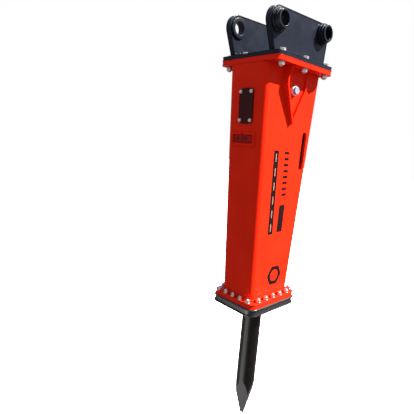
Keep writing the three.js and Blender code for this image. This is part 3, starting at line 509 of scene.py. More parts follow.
def prism(name, low_corners, high_corners):
    """A closed block between two outlines with equal counts."""
    bm = bmesh.new()
    rings = [[bm.verts.new(corner) for corner in corners] for corners in (low_corners, high_corners)]
    join(bm, rings[0], rings[1])
    bm.faces.new(rings[0][::-1])
    bm.faces.new(rings[1])
    return mesh_of(bm, name)


def plate_mesh(name, outer, holes, low, high, **options):
    """One plate as a mesh."""
    bm = bmesh.new()
    add_plate(bm, outer, holes, low, high, **options)
    return mesh_of(bm, name)


# ------------ materials

class Finish:
    """A node material: one shader, and short calls for the nodes that feed it."""

    def __init__(self, name, **values):
        self.material = bpy.data.materials.new(name)
        self.material.use_nodes = True
        self.tree = self.material.node_tree
        self.shader = self.tree.nodes["Principled BSDF"]
        for key, value in values.items():
            self.shader.inputs[key.replace("_", " ")].default_value = value
        self.place = self.add("ShaderNodeTexCoord").outputs["Object"]

    def add(self, kind, **settings):
        node = self.tree.nodes.new(kind)
        for key, value in settings.items():
            setattr(node, key, value)
        return node

    def feed(self, socket, source):
        if hasattr(source, "is_linked"):
            self.tree.links.new(source, socket)
        else:
            socket.default_value = source
        return socket

    def noise(self, scale, detail=3.0, roughness=0.5, stretch=None):
        """Grey noise at a scale in cycles per metre, stretched along the object's axes if asked."""
        node = self.add("ShaderNodeTexNoise")
        place = self.place
        if stretch:
            mapping = self.add("ShaderNodeMapping")
            self.feed(mapping.inputs["Vector"], place)
            mapping.inputs["Scale"].default_value = stretch
            place = mapping.outputs["Vector"]
        self.feed(node.inputs["Vector"], place)
        node.inputs["Scale"].default_value = scale
        node.inputs["Detail"].default_value = detail
        node.inputs["Roughness"].default_value = roughness
        return node.outputs[0]

    def height(self):
        """The object's own height."""
        node = self.add("ShaderNodeSeparateXYZ")
        self.feed(node.inputs[0], self.place)
        return node.outputs[2]

    def spread(self, value, low, high, to_low, to_high):
        """A value mapped from one span to another, held at both ends."""
        node = self.add("ShaderNodeMapRange")
        for socket, source in zip(node.inputs, (value, low, high, to_low, to_high)):
            self.feed(socket, source)
        return node.outputs[0]

    def mixed(self, share, first, second):
        """Two colours mixed by a share."""
        node = self.add("ShaderNodeMix", data_type="RGBA")
        self.feed(node.inputs[0], share)
        self.feed(node.inputs[6], first)
        self.feed(node.inputs[7], second)
        return node.outputs[2]

    def math(self, operation, first, second):
        node = self.add("ShaderNodeMath", operation=operation)
        self.feed(node.inputs[0], first)
        self.feed(node.inputs[1], second)
        return node.outputs[0]

    def colour(self, source):
        self.feed(self.shader.inputs["Base Color"], source)

    def rough(self, source):
        self.feed(self.shader.inputs["Roughness"], source)

    def bump(self, *layers):
        """Surface relief from pairs of a height source and its depth in metres."""
        normal = None
        for source, depth in layers:
            node = self.add("ShaderNodeBump")
            node.inputs["Strength"].default_value = 1.0
            node.inputs["Distance"].default_value = depth
            self.feed(node.inputs["Height"], source)
            if normal:
                self.feed(node.inputs["Normal"], normal)
            normal = node.outputs[0]
        self.feed(self.shader.inputs["Normal"], normal)


def grey(value, alpha=1.0):
    """A neutral linear colour."""
    return (value, value, value, alpha)


def paint(name, base, deep, roughness, coat, peel=0.00005, gloss=0.35):
    """Sprayed enamel: thick and thin stretches, orange peel, dust specks and a gloss that varies."""
    finish = Finish(name, Metallic=0.0, Coat_Weight=coat, Coat_Roughness=0.15, Specular_IOR_Level=gloss)
    drift = finish.spread(finish.noise(5, 4), 0.35, 0.65, 0.0, 1.0)
    tone = finish.mixed(drift, base, deep)
    specks = finish.spread(finish.noise(900, 2), 0.70, 0.76, 0.0, 0.5)
    dusty = [0.75 * channel + 0.05 for channel in base[:3]] + [1.0]
    finish.colour(finish.mixed(specks, tone, dusty))
    finish.rough(finish.spread(finish.noise(14, 5), 0.3, 0.7, roughness * 0.85, roughness * 1.25))
    finish.bump((finish.noise(260, 2), peel), (finish.noise(7, 2), peel * 8))
    return finish.material


def plated_steel():
    """Zinc plating: bright, faintly mottled, with a soft blue and straw tint."""
    finish = Finish("zinc_plating", Metallic=1.0, Specular_IOR_Level=0.5)
    mottle = finish.spread(finish.noise(160, 4), 0.35, 0.65, 0.0, 1.0)
    tint = finish.mixed(mottle, (0.66, 0.69, 0.74, 1), (0.82, 0.80, 0.74, 1))
    stain = finish.spread(finish.noise(55, 5), 0.58, 0.72, 0.0, 0.6)
    finish.colour(finish.mixed(stain, tint, (0.42, 0.41, 0.40, 1)))
    finish.rough(finish.spread(finish.noise(420, 3), 0.3, 0.7, 0.24, 0.42))
    finish.bump((finish.noise(700, 3), 0.00003))
    return finish.material


def tool_metal():
    """Hardened tool steel, oiled black, with turning marks and a lighter point, part ground steel and part
    painted sheen.
    """
    finish = Finish("oiled_tool_steel", Metallic=0.0, Specular_IOR_Level=0.20)
    rings = finish.noise(30, 3, 0.6, stretch=(0.4, 0.4, 30))
    scale = finish.spread(finish.noise(26, 5), 0.3, 0.7, 0.0, 1.0)
    body = finish.mixed(scale, (0.0022, 0.0022, 0.0023, 1), (0.0045, 0.0045, 0.0047, 1))
    # The point is lighter: partly ground bare steel, partly a painted sheen that stands in for the light its
    # facets reflect.
    point_top = tool_low.z + TOOL_POINT_LENGTH * 0.9
    point_wear_and_sheen = finish.spread(finish.height(), point_top, point_top - 0.10, 0.0, 1.0)
    ground = finish.math("MULTIPLY", point_wear_and_sheen, finish.spread(finish.noise(60, 6), 0.35, 0.6, 0.25, 0.6))
    finish.colour(finish.mixed(ground, body, (0.013, 0.013, 0.0133, 1)))
    finish.rough(finish.spread(rings, 0.3, 0.7, 0.26, 0.38))
    finish.bump((rings, 0.00012), (finish.noise(120, 4), 0.00006))
    return finish.material


def machined(name, dark, light, metallic, roughness, depth, scale=90):
    """Machined or cast metal: two tones, fine tool marks and a grain."""
    finish = Finish(name, Metallic=metallic)
    tone = finish.spread(finish.noise(scale, 5), 0.35, 0.65, 0.0, 1.0)
    finish.colour(finish.mixed(tone, dark, light))
    finish.rough(finish.spread(finish.noise(scale * 2, 3), 0.3, 0.7, roughness * 0.8, roughness * 1.2))
    finish.bump((finish.noise(scale * 4, 3), depth), (finish.noise(scale, 2, 0.5, (0.2, 0.2, 12)), depth))
    return finish.material


def moulded(name, dark, light, roughness, scale=300):
    """Rubber or plastic with a fine mould grain and slight bloom."""
    finish = Finish(name, Metallic=0.0, Specular_IOR_Level=0.4)
    bloom = finish.spread(finish.noise(18, 4), 0.35, 0.7, 0.0, 1.0)
    finish.colour(finish.mixed(bloom, dark, light))
    finish.rough(finish.spread(finish.noise(70, 3), 0.3, 0.7, roughness * 0.9, roughness * 1.1))
    finish.bump((finish.noise(scale, 3), 0.00008))
    return finish.material


RED = (0.80, 0.0215, 0.0050, 1)
RED_DEEP = (0.72, 0.0180, 0.0042, 1)
BLACK = (0.0088, 0.0125, 0.0245, 1)
BLACK_DEEP = (0.0068, 0.0095, 0.0185, 1)
WELD_BLACK = (0.0088, 0.0125, 0.0225, 1)
WELD_BLACK_DEEP = (0.0068, 0.0095, 0.0175, 1)
LABEL_RED = (0.42, 0.0080, 0.0070, 1)
LABEL_RED_DEEP = (0.32, 0.0065, 0.0060, 1)
VINYL = (0.007, 0.003, 0.003, 1)
VINYL_WORN = (0.010, 0.004, 0.004, 1)

red_paint = paint("red_enamel", RED, RED_DEEP, 0.36, 0.01, gloss=0.05)
weld_paint = paint("red_enamel_on_weld", RED_DEEP, RED, 0.40, 0.01, 0.00010, 0.05)
primer = paint("grey_brown_primer", (0.150, 0.085, 0.075, 1), (0.110, 0.062, 0.056, 1), 0.65, 0.0)
black_paint = paint("black_enamel", BLACK, BLACK_DEEP, 0.31, 0.02, gloss=0.16)
black_weld = paint("black_enamel_on_weld", WELD_BLACK, WELD_BLACK_DEEP, 0.46, 0.0, gloss=0.12)
wear_paint = paint("wear_plate_black", (0.017, 0.018, 0.021, 1), (0.011, 0.012, 0.014, 1), 0.32, 0.25)
cover_paint = paint("cover_brown_black", (0.055, 0.0075, 0.0070, 1), (0.040, 0.0060, 0.0055, 1), 0.42, 0.0,
                    gloss=0.12)
label_paint = paint("label_dark_red", LABEL_RED, LABEL_RED_DEEP, 0.42, 0.0, gloss=0.12)
label_ink = paint("label_ink", (0.120, 0.006, 0.006, 1), (0.090, 0.005, 0.005, 1), 0.45, 0.0, gloss=0.12)
vinyl_black = paint("black_vinyl", VINYL, VINYL_WORN, 0.40, 0.0, 0.00002, 0.10)
vinyl_light = paint("pale_vinyl", (0.42, 0.22, 0.17, 1), (0.36, 0.19, 0.15, 1), 0.40, 0.05, 0.00002)
zinc = plated_steel()
tool_steel = tool_metal()
forged = machined("forged_steel", grey(0.055), (0.10, 0.10, 0.105, 1), 0.8, 0.50, 0.00010)
ground = machined("ground_steel", grey(0.42), grey(0.52), 1.0, 0.22, 0.00002, 140)
bronze = machined("turned_bronze", (0.36, 0.19, 0.07, 1), (0.46, 0.26, 0.10, 1), 1.0, 0.34, 0.00004, 120)
rubber = moulded("black_polyurethane", grey(0.016), grey(0.028), 0.70)
cap_plastic = moulded("slate_blue_cap", (0.17, 0.22, 0.34, 1), (0.24, 0.30, 0.42, 1), 0.34, 500)
port_plastic = moulded("pale_port_plug", (0.62, 0.66, 0.74, 1), (0.70, 0.73, 0.79, 1), 0.30, 500)

SLOT_MATERIALS = {
    "red_paint": red_paint,
    "black_paint": black_paint,
    "cover_paint": cover_paint,
    "zinc_steel": zinc,
    "tool_steel": tool_steel,
    "forged_steel": forged,
    "ground_steel": ground,
    "bronze": bronze,
    "polyurethane": rubber,
    "label_metal": label_paint,
    "cap_plastic": cap_plastic,
}


def dress_cad_nodes():
    """Every CAD node that stays gets its slot's material, soft edges and smooth round faces."""
    for row in frame["record"]["subparts"]:
        obj = frame["nodes"][row["node"]]
        obj.data.materials.clear()
        obj.data.materials.append(SLOT_MATERIALS[row["material_slot"]])
        shade(obj.data, 46)
        flatten = obj.modifiers.new("one_face_per_plane", "DECIMATE")
        flatten.decimate_type = "DISSOLVE"
        flatten.angle_limit = math.radians(0.5)
        soften_edges(obj, "broken_edges", 0.0012, 50, True)


# ------------ bracket

SHORT_BOSS = [(0.0, -0.028), (0.0198, -0.028), (0.0198, 0.024), (0.0, 0.024)]
LONG_BOSS = [
    # radius from the bore, reach from the ear's middle
    (0.0, -0.028),
    (0.0198, -0.028),
    (0.0198, 0.0203),
    (0.0258, 0.0203),
    (0.0258, 0.0313),
    (0.0138, 0.0313),
    (0.0138, 0.0363),
    (0.0188, 0.0363),
    (0.0188, 0.0453),
    (0.0118, 0.0453),
    (0.0118, 0.062),
    (0.0, 0.062),
]


def ear_outline():
    """The ear: a plate wrapped round its two pin bosses, standing on the base plate."""
    foot = plate_high.z + GAP
    points = [(EAR_FOOT[0], foot), (EAR_FOOT[1], foot)]
    for y, z, radius in PINS.values():
        points += circle(radius, 120, (y, z))
    return convex_outline(points)


def make_bracket():
    """Base plate, two ears, four bosses and their welds."""
    holes = [circle(BOLT_HOLE, 40, middle(n).xy) for n in BOLTS]
    outline = rounded_rectangle((plate_high.x, plate_high.y), TOP_FLANGE_CORNER)
    mesh = plate_mesh("base_plate", outline, holes, plate_low.z, plate_high.z, bevel=0.002)
    add_piece("base_plate_fine", mesh, black_paint, stands_for=["bracket_base_plate"])
    seats = [circle(PIN_BORE + 0.0201, FINE, (y, z)) for y, z, _ in PINS.values()]
    half = EAR_THICKNESS / 2
    for side, label in ((-1, "left"), (1, "right")):
        matrix = place_at((side * EAR_MIDDLE, 0, 0), (0, 1, 0), (0, 0, 1))
        mesh = plate_mesh(f"ear_{label}", ear_outline(), seats, -half, half, bevel=0.0035, matrix=matrix)
        add_piece(f"ear_{label}_fine", mesh, black_paint, stands_for=[f"bracket_ear_{label}"])
        make_ear_welds(side, label)
        for end, (y, z, _) in PINS.items():
            make_boss(side, label, end, y, z)


def make_boss(side, label, end, y, z):
    """One stepped pin boss, its axis along X, with the weld round its foot."""
    profile = [(PIN_BORE + out, reach) for out, reach in (LONG_BOSS if side > 0 else SHORT_BOSS)]
    matrix = place_at((side * EAR_MIDDLE, y, z), (0, side, 0), (0, 0, 1))
    bm = bmesh.new()
    add_turned(bm, softened(profile, 0.0022, 3), matrix)
    mesh = mesh_of(bm, f"boss_{end}_{label}")
    node = f"pin_boss_{end}_{label}"
    add_piece(f"{node}_fine", mesh, black_paint, stands_for=[node], angle=50)

    bm = bmesh.new()
    outer_radius = PIN_BORE + (0.0258 if side > 0 else 0.0198)
    for face, radius in ((side, outer_radius), (-side, PIN_BORE + 0.0198)):
        size = min(0.006, PINS[end][2] - radius - 0.0008)
        if size < 0.002:
            continue
        x = side * EAR_MIDDLE + face * EAR_THICKNESS / 2
        centre = Vector((x, y, z))
        points = [(x, y + a, z + b) for a, b in circle(radius)]
        add_weld(
            bm,
            points,
            size,
            lambda p, _, centre=centre: (p - centre).normalized(),
            lambda p, _, face=face: Vector((face, 0, 0)),
            ripple=0.05,
        )
    add_piece(f"boss_weld_{end}_{label}", mesh_of(bm, "boss_weld"), black_weld, angle=60)


def make_ear_welds(side, label):
    """Fillet welds along both sides of an ear's foot."""
    bm = bmesh.new()
    z = plate_high.z
    for face in (-1, 1):
        x = side * EAR_MIDDLE + face * EAR_THICKNESS / 2
        points = [(x, EAR_FOOT[0] + 0.012, z), (x, EAR_FOOT[1] - 0.012, z)]
        add_weld(
            bm,
            points,
            0.010,
            lambda p, _, face=face: Vector((face, 0, 0)),
            lambda p, _: Vector((0, 0, 1)),
            closed=False,
            ripple=0.08,
        )
    add_piece(f"ear_weld_{label}", mesh_of(bm, "ear_weld"), black_weld, angle=60)


# ------------ bolts and nuts

OUTER_BOLTS = [f"flange_bolt_outer_{i}" for i in range(1, 7)]
INNER_BOLTS = [f"flange_bolt_inner_{i}" for i in range(1, 5)]
BOLTS = OUTER_BOLTS + INNER_BOLTS


def flange_bolt_mesh(name, head):
    """Bolt, two washers and nut, its zero at the base plate's top face."""
    bm = bmesh.new()
    thick = M24["washer_thick"]
    under = flange_low.z - plate_high.z - GAP
    nut_high = under - thick
    nut_low = nut_high - M24["radius"] * 1.6
    add_washer(bm, M24["radius"], M24["washer"], GAP, thick)
    add_hexagon(bm, M24["across"], thick, thick + head, chamfer_low=False)
    add_washer(bm, M24["radius"], M24["washer"], nut_high, under)
    add_hexagon(bm, M24["across"], nut_low, nut_high, bore=M24["radius"] * 0.97)
    shank = M24["radius"] * 0.98
    add_turned(bm, [(0, nut_high), (shank, nut_high), (shank, 0.002), (0, 0.002)], segments=32)
    add_thread(bm, M24["radius"], nut_low - 0.006, nut_high - 0.001, M24["pitch"])
    return mesh_of(bm, name)


def make_flange_bolts():
    """The ten bolts that hold the bracket to the housing."""
    for nodes, head in ((OUTER_BOLTS, OUTER_HEAD), (INNER_BOLTS, INNER_HEAD)):
        mesh = flange_bolt_mesh("flange_bolt", head)
        for node in nodes:
            at = middle(node)
            place = (at.x, at.y, plate_high.z)
            add_piece(f"{node}_fine", mesh, zinc, stands_for=[node], location=place)


def stud_places():
    """Places of the wear plate's studs, five along each edge."""
    places = []
    for i in range(STUD_ROWS):
        step = i - (STUD_ROWS - 1) / 2
        for side in (-1, 1):
            places.append((step * STUD_FRONT[1], side * STUD_FRONT[0]))
            places.append((side * STUD_SIDE[0], step * STUD_SIDE[1]))
    return places


def make_stud_nuts():
    """The nut, washer and thread end of each stud, on the bottom flange."""
    bm = bmesh.new()
    base = M20["washer_thick"]
    top = wear_high.z - foot_high.z
    add_washer(bm, M20["radius"], M20["washer"], 0.0002, base)
    add_hexagon(bm, M20["across"], base, base + STUD_NUT, bore=M20["radius"] * 0.97)
    add_thread(bm, M20["radius"], -0.004, top, M20["pitch"])
    mesh = mesh_of(bm, "stud_nut")
    for i, (x, y) in enumerate(stud_places()):
        place = (x, y, foot_high.z)
        add_piece(f"stud_nut_{i + 1}", mesh, zinc, location=place)


# ------------ housing

def tapered_rings(bm, grow, radius, low, high, levels):
    """Rings of the housing's tapered outline from one height to another."""
    rings = []
    for i in range(levels + 1):
        z = low + (high - low) * i / levels
        half = (side_at(z) + grow, front_at(z) + grow)
        rings.append(ring_at(bm, rounded_rectangle(half, radius), z, Matrix()))
    return rings


def tapered_block(name, grow, radius, low, high, levels=1):
    """A closed tapered block with the housing's outline, made larger or smaller all round."""
    bm = bmesh.new()
    rings = tapered_rings(bm, grow, radius, low, high, levels)
    for below, above in zip(rings, rings[1:]):
        join(bm, below, above)
    fill(bm, [rings[0]])
    fill(bm, [rings[-1]])
    return mesh_of(bm, name)


def front_place(z):
    """The leaning front face at a height: x across, y up the face, z straight out."""
    return place_at((0, -front_at(z), z), (1, 0, 0), (0, -front_slope, 1))


def side_place(side, z=0.0):
    """A leaning side face: x towards +Y on the right and -Y on the left, y up the face, z straight out."""
    return place_at((side * side_at(z), 0, z), (0, side, 0), (side * side_slope, 0, 1))


def housing_cutters():
    """Solids that open the port holes, the slots and the window."""
    cutters = []
    reach = HOUSING_TOP_HALF[0] + 0.05
    across = place_at((0, 0, 0), (0, 1, 0), (0, 0, 1))
    port_z = middle("port_adapter_in").z
    slot = slot_outline((SLOT_Y, (SLOT_HIGH + SLOT_LOW) / 2), SLOT_WIDTH / 2, (SLOT_HIGH - SLOT_LOW) / 2)
    for outline in (circle(PORT_HOLE, 64, (0, port_z)), slot):
        cutters.append(plate_mesh("cut", outline, [], -reach, reach, bevel=0.0, steps=1, matrix=across))
    deep = HOUSING_WALL * 2
    matrix = front_place(middle("inspection_cover").z)
    window = rounded_rectangle(WINDOW_HALF, HOUSING_WALL, centre=(COVER_X, 0))
    cutters.append(plate_mesh("cut", window, [], -deep, deep, bevel=0.0, steps=1, matrix=matrix))
    return cutters


def depth_in_wall(point):
    """How far inside the housing's outer surface a point lies."""
    to_side = side_at(point.z) - abs(point.x)
    to_front = front_at(point.z) - abs(point.y)
    if to_side < HOUSING_CORNER and to_front < HOUSING_CORNER:
        return HOUSING_CORNER - math.hypot(HOUSING_CORNER - to_side, HOUSING_CORNER - to_front)
    return min(to_side, to_front)


def make_housing():
    """The tapered box with its openings, and the welds that join it to its flanges."""
    outside = tapered_block("outside", 0, HOUSING_CORNER, shell_low.z, shell_high.z, 8)
    inside = tapered_block(
        "inside",
        -HOUSING_WALL,
        HOUSING_CORNER - HOUSING_WALL,
        shell_low.z - 0.001,
        shell_high.z + 0.001,
    )
    mesh = carved(outside, [inside, *housing_cutters()])
    mesh.materials.append(red_paint)
    mesh.materials.append(primer)
    for polygon in mesh.polygons:
        polygon.material_index = 1 if depth_in_wall(polygon.center) > HOUSING_WALL * 0.6 else 0
    shade(mesh, 30)
    add_piece("housing_shell_fine", mesh, red_paint, stands_for=["housing_shell"])
    bm = bmesh.new()
    for z, rise, size in ((shell_high.z, -1, 0.0034), (shell_low.z, 1, 0.009)):
        outline = rounded_rectangle((side_at(z), front_at(z)), HOUSING_CORNER)
        points = [(x, y, z) for x, y in outline]
        add_weld(
            bm,
            points,
            size,
            lambda p, forward: Vector((forward.y, -forward.x, 0)),
            lambda p, _, rise=rise: Vector((0, 0, rise)),
        )
    add_piece("housing_welds", mesh_of(bm, "housing_welds"), weld_paint, angle=60)


def make_flanges():
    """Top flange, bottom flange and wear plate."""
    holes = [circle(BOLT_HOLE, 40, middle(n).xy) for n in BOLTS]
    opening = rounded_rectangle((CELL_HALF[0] - 0.002, CELL_HALF[1] - 0.002), 0.004, 3)
    outline = rounded_rectangle((flange_high.x, flange_high.y), TOP_FLANGE_CORNER)
    mesh = plate_mesh("top_flange", outline, [opening, *holes], flange_low.z, flange_high.z, bevel=0.0022)
    add_piece("top_flange_fine", mesh, red_paint, stands_for=["housing_top_flange"])

    holes = [circle(STUD_HOLE, 32, place) for place in stud_places()]
    opening = rounded_rectangle((CELL_HALF[0] + 0.002, CELL_HALF[1] + 0.002), 0.004, 3)
    outline = rounded_rectangle((foot_high.x, foot_high.y), BOTTOM_FLANGE_CORNER)
    mesh = plate_mesh("bottom_flange", outline, [opening, *holes], foot_low.z, foot_high.z, bevel=0.0035)
    add_piece("bottom_flange_fine", mesh, red_paint, stands_for=["housing_bottom_flange"])

    bm = bmesh.new()
    top = foot_low.z - GAP
    outline = rounded_rectangle((wear_high.x, wear_high.y), BOTTOM_FLANGE_CORNER + 0.006)
    add_plate(bm, outline, [circle(TOOL_HOLE)], wear_low.z, top, bevel=0.009, steps=5)
    mesh = mesh_of(bm, "wear_plate")
    add_piece("wear_plate_fine", mesh, wear_paint, stands_for=["wear_plate"])


def make_guard_welds():
    """Welds where the two port guards meet the housing's side faces."""
    low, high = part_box("port_guard_right")
    tip = low.z
    bend = middle("port_adapter_in").z + GUARD_BEND_RISE
    half = high.y
    for side, label in ((-1, "left"), (1, "right")):
        matrix = side_place(side)
        bm = bmesh.new()
        corners = [(-half, high.z - 0.004), (-half, bend), (0, tip), (half, bend), (half, high.z - 0.004)]
        points = []
        for y, z in corners:
            points.append((side * (side_at(z) + GAP), y * side, z))
        normal = matrix.to_3x3() @ Vector((0, 0, 1))
        add_weld(
            bm,
            points,
            0.006,
            lambda p, forward, n=normal: forward.cross(n),
            lambda p, _, n=normal: n,
            closed=False,
        )
        add_piece(f"guard_weld_{label}", mesh_of(bm, "guard_weld"), weld_paint, angle=60)


# ------------ pieces on the front face

def cover_outline(grow=0.0):
    """The cover: straight sides and arched ends."""
    half_x, half_y = COVER_HALF[0] + grow, COVER_HALF[1] + grow
    points = []
    steps = 16
    for sign in (1, -1):
        for i in range(steps + 1):
            t = 1 - 2 * i / steps
            points.append((COVER_X + sign * half_x * t, sign * (half_y + COVER_ARCH * (1 - t * t))))
    return points


def make_cover():
    """Inspection cover and its four bolts."""
    z = middle("inspection_cover").z
    matrix = front_place(z)
    mesh = plate_mesh("cover", cover_outline(), [], 0.0010, 0.0093, bevel=0.0016, matrix=matrix)
    add_piece("inspection_cover_fine", mesh, cover_paint, stands_for=["inspection_cover"])
    bm = bmesh.new()
    for sx in (-1, 1):
        for sy in (-1, 1):
            place = matrix @ Matrix.Translation((COVER_X + sx * 0.043, sy * 0.087, 0))
            add_washer(bm, 0.0055, 0.0118, 0.0093, 0.0112, place)
            add_hexagon(bm, 0.019, 0.0112, 0.0176, place, chamfer_low=False)
            turned = [(0, -0.020), (0.006, -0.020), (0.006, 0.012), (0, 0.012)]
            add_turned(bm, turned, place, 24)
    nodes = [f"cover_bolt_{i}" for i in range(1, 5)]
    add_piece("cover_bolts_fine", mesh_of(bm, "cover_bolts"), zinc, stands_for=nodes)


def make_name_plate():
    """Raised frame with a slit in its top bar, round a plate with a plain embossed pattern."""
    z = middle("name_plate_frame").z
    matrix = front_place(z)
    half_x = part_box("name_plate_frame")[1].x
    half_y = 0.041
    in_x, in_y = half_x - FRAME_BAR, half_y - FRAME_BAR
    outline = [
        (FRAME_SLIT, half_y), (FRAME_SLIT, in_y), (in_x, in_y), (in_x, -in_y), (-in_x, -in_y), (-in_x, in_y),
        (-FRAME_SLIT, in_y), (-FRAME_SLIT, half_y), (-half_x, half_y), (-half_x, -half_y), (half_x, -half_y),
        (half_x, half_y),
    ]
    mesh = plate_mesh("name_frame", outline[::-1], [], GAP, 0.0103, bevel=0.0016, matrix=matrix)
    add_piece("name_frame_fine", mesh, red_paint, stands_for=["name_plate_frame"])

    plate_half = (in_x - 0.006, in_y - 0.004)
    outline = rounded_rectangle(plate_half, 0.004, 6)
    mesh = plate_mesh("name_plate", outline, [], GAP, 0.0033, bevel=0.0006, matrix=matrix)
    add_piece("name_plate_fine", mesh, label_paint, stands_for=["name_plate"])
    bm = bmesh.new()
    border = (plate_half[0] - 0.003, plate_half[1] - 0.003)
    inner = rounded_rectangle((border[0] - 0.0015, border[1] - 0.0015), 0.0015, 4)
    add_plate(bm, rounded_rectangle(border, 0.003, 4), [inner], 0.0030, 0.0038, 0.0002, 1, matrix)
    for row, length in enumerate((0.052, 0.060, 0.044)):
        y = 0.010 - 0.010 * row
        bar = rounded_rectangle((length / 2, 0.0022), 0.0016, 3, (0.014 + (length - 0.060) / 2, y))
        add_plate(bm, bar, [], 0.0030, 0.0038, 0.0002, 1, matrix)
    add_plate(bm, circle(0.013, 6, (-0.042, 0)), [circle(0.007, 24, (-0.042, 0))], 0.0030, 0.0038, 0.0002, 1,
              matrix)
    add_piece("name_plate_relief", mesh_of(bm, "name_relief"), label_ink)


# ------------ hose ports

def make_ports():
    """Hose port adapters with a plain stem and a hexagon, each with a ribbed cap."""
    for side, label in ((1, "in"), (-1, "out")):
        node = f"port_adapter_{label}"
        matrix = place_at((0, 0, middle(node).z), (0, side, 0), (0, 0, 1))
        hex_from = HOUSING_TOP_HALF[0] - 0.012
        hex_to = hex_from + 0.024
        bm = bmesh.new()
        stem = [(0, 0.074), (0.020, 0.074), (0.020, hex_from + 0.001), (0, hex_from + 0.001)]
        add_turned(bm, softened(stem, 0.001, 2), matrix, 48)
        add_hexagon(bm, 0.0554, hex_from, hex_to, matrix)
        add_piece(f"{node}_fine", mesh_of(bm, node), port_plastic, stands_for=[node])
        bm = bmesh.new()
        ribs = []
        for i in range(120):
            radius = 0.026 if i % 4 < 2 else 0.0247
            angle = 2 * math.pi * i / 120
            ribs.append((radius * math.cos(angle), radius * math.sin(angle)))
        add_plate(bm, ribs, [], hex_to + GAP, hex_to + 0.0103, 0.0005, 1, matrix)
        dome_low, dome_high = hex_to + 0.009, hex_to + 0.0123
        dome = [(0, dome_low), (0.0225, dome_low), (0.0225, dome_high), (0, dome_high)]
        add_turned(bm, softened(dome, 0.0016, 3), matrix, 64)
        node = f"port_cap_{label}"
        add_piece(f"{node}_fine", mesh_of(bm, node), cap_plastic, stands_for=[node])


# ------------ the tool

def make_tool():
    """Round bar with two pin notches and a blunt four-sided point."""
    bm = bmesh.new()
    low, high = tool_low.z, tool_high.z
    profile = [(0, low), (TOOL_RADIUS, low)]
    steps = 24
    for i in range(1, steps):
        profile.append((TOOL_RADIUS, low + (high - low) * i / steps))
    profile += [(TOOL_RADIUS, high - 0.008), (TOOL_RADIUS - 0.008, high), (0, high)]
    add_turned(bm, profile, segments=FINE)
    bar = mesh_of(bm, "tool")

    growth = (TOOL_RADIUS - TOOL_END_WIDTH / 2) / TOOL_POINT_LENGTH
    reach = high - low + 0.02
    turn = Matrix.Rotation(TOOL_POINT_TURN, 4, "Z")
    squares = []
    for level, half in ((low, TOOL_END_WIDTH / 2), (low + reach, TOOL_END_WIDTH / 2 + growth * reach)):
        corners = ((-1, -1), (1, -1), (1, 1), (-1, 1))
        squares.append([turn @ Vector((x * half, y * half, level)) for x, y in corners])
    pyramid = prism("point", *squares)

    pin_z = middle("tool_pin_front").z
    flat, below, above = TOOL_NOTCH
    notches = []
    for side in (-1, 1):
        box = [(-0.08, side * flat), (0.08, side * flat), (0.08, side * 0.08), (-0.08, side * 0.08)]
        levels = (pin_z - 0.025 - below, pin_z + above)
        notches.append(prism("notch", *[[(x, y, z) for x, y in box] for z in levels]))
    shaped = carved(carved(bar, [pyramid], "INTERSECT"), notches)
    obj = add_piece("tool_fine", shaped, tool_steel, "tool", ["tool"], angle=16)
    soften_edges(obj, "ground_edges", 0.0018, 14, False)


# ------------ painted marks on the side faces

MARK_THICKNESS = 0.0004
MARK_ZERO = -0.570  # level of the marks' own zero, on the side faces
LEAN = front_slope  # the marks run parallel to the housing's tapered front edge


def slanted(x, y, width, height, lean):
    """A bar leaning over by a share of its height, centred on a point."""
    w, h = width / 2, height / 2
    corners = [(-w, -h), (w, -h), (w, h), (-w, h)]
    return [(x + a + b * lean, y + b) for a, b in corners]


def side_marks():
    """Outlines and holes of plain marks in (y, z) on the side face, dark shapes and pale dashes."""
    dark, pale = [], []
    strip_y, strip_z, strip_half = -0.091, -0.854, 0.2825
    dark.append((slanted(strip_y, strip_z, 0.050, 2 * strip_half, -LEAN), []))
    dashes = 6
    for i in range(dashes):
        z = strip_z + strip_half * (1 - (2 * i + 1) / dashes)
        y = strip_y - (z - strip_z) * LEAN
        pale.append((slanted(y, z, 0.008, 0.052, -LEAN), []))

    column_y, column_high, column_low, bars = 0.008, -0.585, -0.865, 8
    for i in range(bars):
        z = column_high + (column_low - column_high) * i / (bars - 1)
        y = column_y - (z - column_high) * LEAN
        dark.append((slanted(y, z, 0.050, 0.018, 0.0), []))

    dark.append((rounded_rectangle((0.030, 0.095), 0.006, 6, (0.022, -1.032)), []))
    nut = (0.026, -1.4452)
    dark.append((circle(0.078, 6, nut), [circle(0.042, 48, nut)]))
    return dark, pale


def signed_area(points):
    """Twice the outline's area, negative when it runs clockwise."""
    pairs = zip(points, points[1:] + points[:1])
    return sum(a[0] * b[1] - b[0] * a[1] for a, b in pairs)


def make_side_marks():
    """Thin vinyl marks on both side faces."""
    dark, pale = side_marks()
    for side, label in ((-1, "left"), (1, "right")):
        matrix = side_place(side, MARK_ZERO)
        for shapes, material, kind, base in (
            (dark, vinyl_black, "dark", 0.0),
            (pale, vinyl_light, "pale", MARK_THICKNESS),
        ):
            bm = bmesh.new()
            for outer, holes in shapes:
                loops = []
                for loop in [outer, *holes]:
                    placed = [(side * y, z - MARK_ZERO) for y, z in loop]
                    loops.append(placed if signed_area(placed) > 0 else placed[::-1])
                add_plate(bm, loops[0], loops[1:], base - 0.0002, base + MARK_THICKNESS, 0.0001, 1, matrix)
            mesh = mesh_of(bm, f"marks_{kind}_{label}")
            add_piece(f"side_marks_{kind}_{label}", mesh, material)


def make_dark_edge_lines():
    """Thin dark lines across the bracket joint's edge, two on each side."""
    # Plain dark strips on the joint's edge; their cause is not known.
    bm = bmesh.new()
    x = flange_high.x
    for side in (-1, 1):
        for y in (-0.240, -0.013):
            matrix = place_at((side * (x - 0.0003), y, 0), (0, side, 0), (0, 0, 1))
            length = plate_high.z - flange_low.z - 0.006
            line = slanted(0, (flange_low.z + plate_high.z) / 2, 0.0022, length, 0.0)
            add_plate(bm, line, [], 0.0, 0.0003, 0.00005, 1, matrix)
    add_piece("dark_edge_lines", mesh_of(bm, "dark_edge_lines"), vinyl_black)


# ------------ floor, light and camera

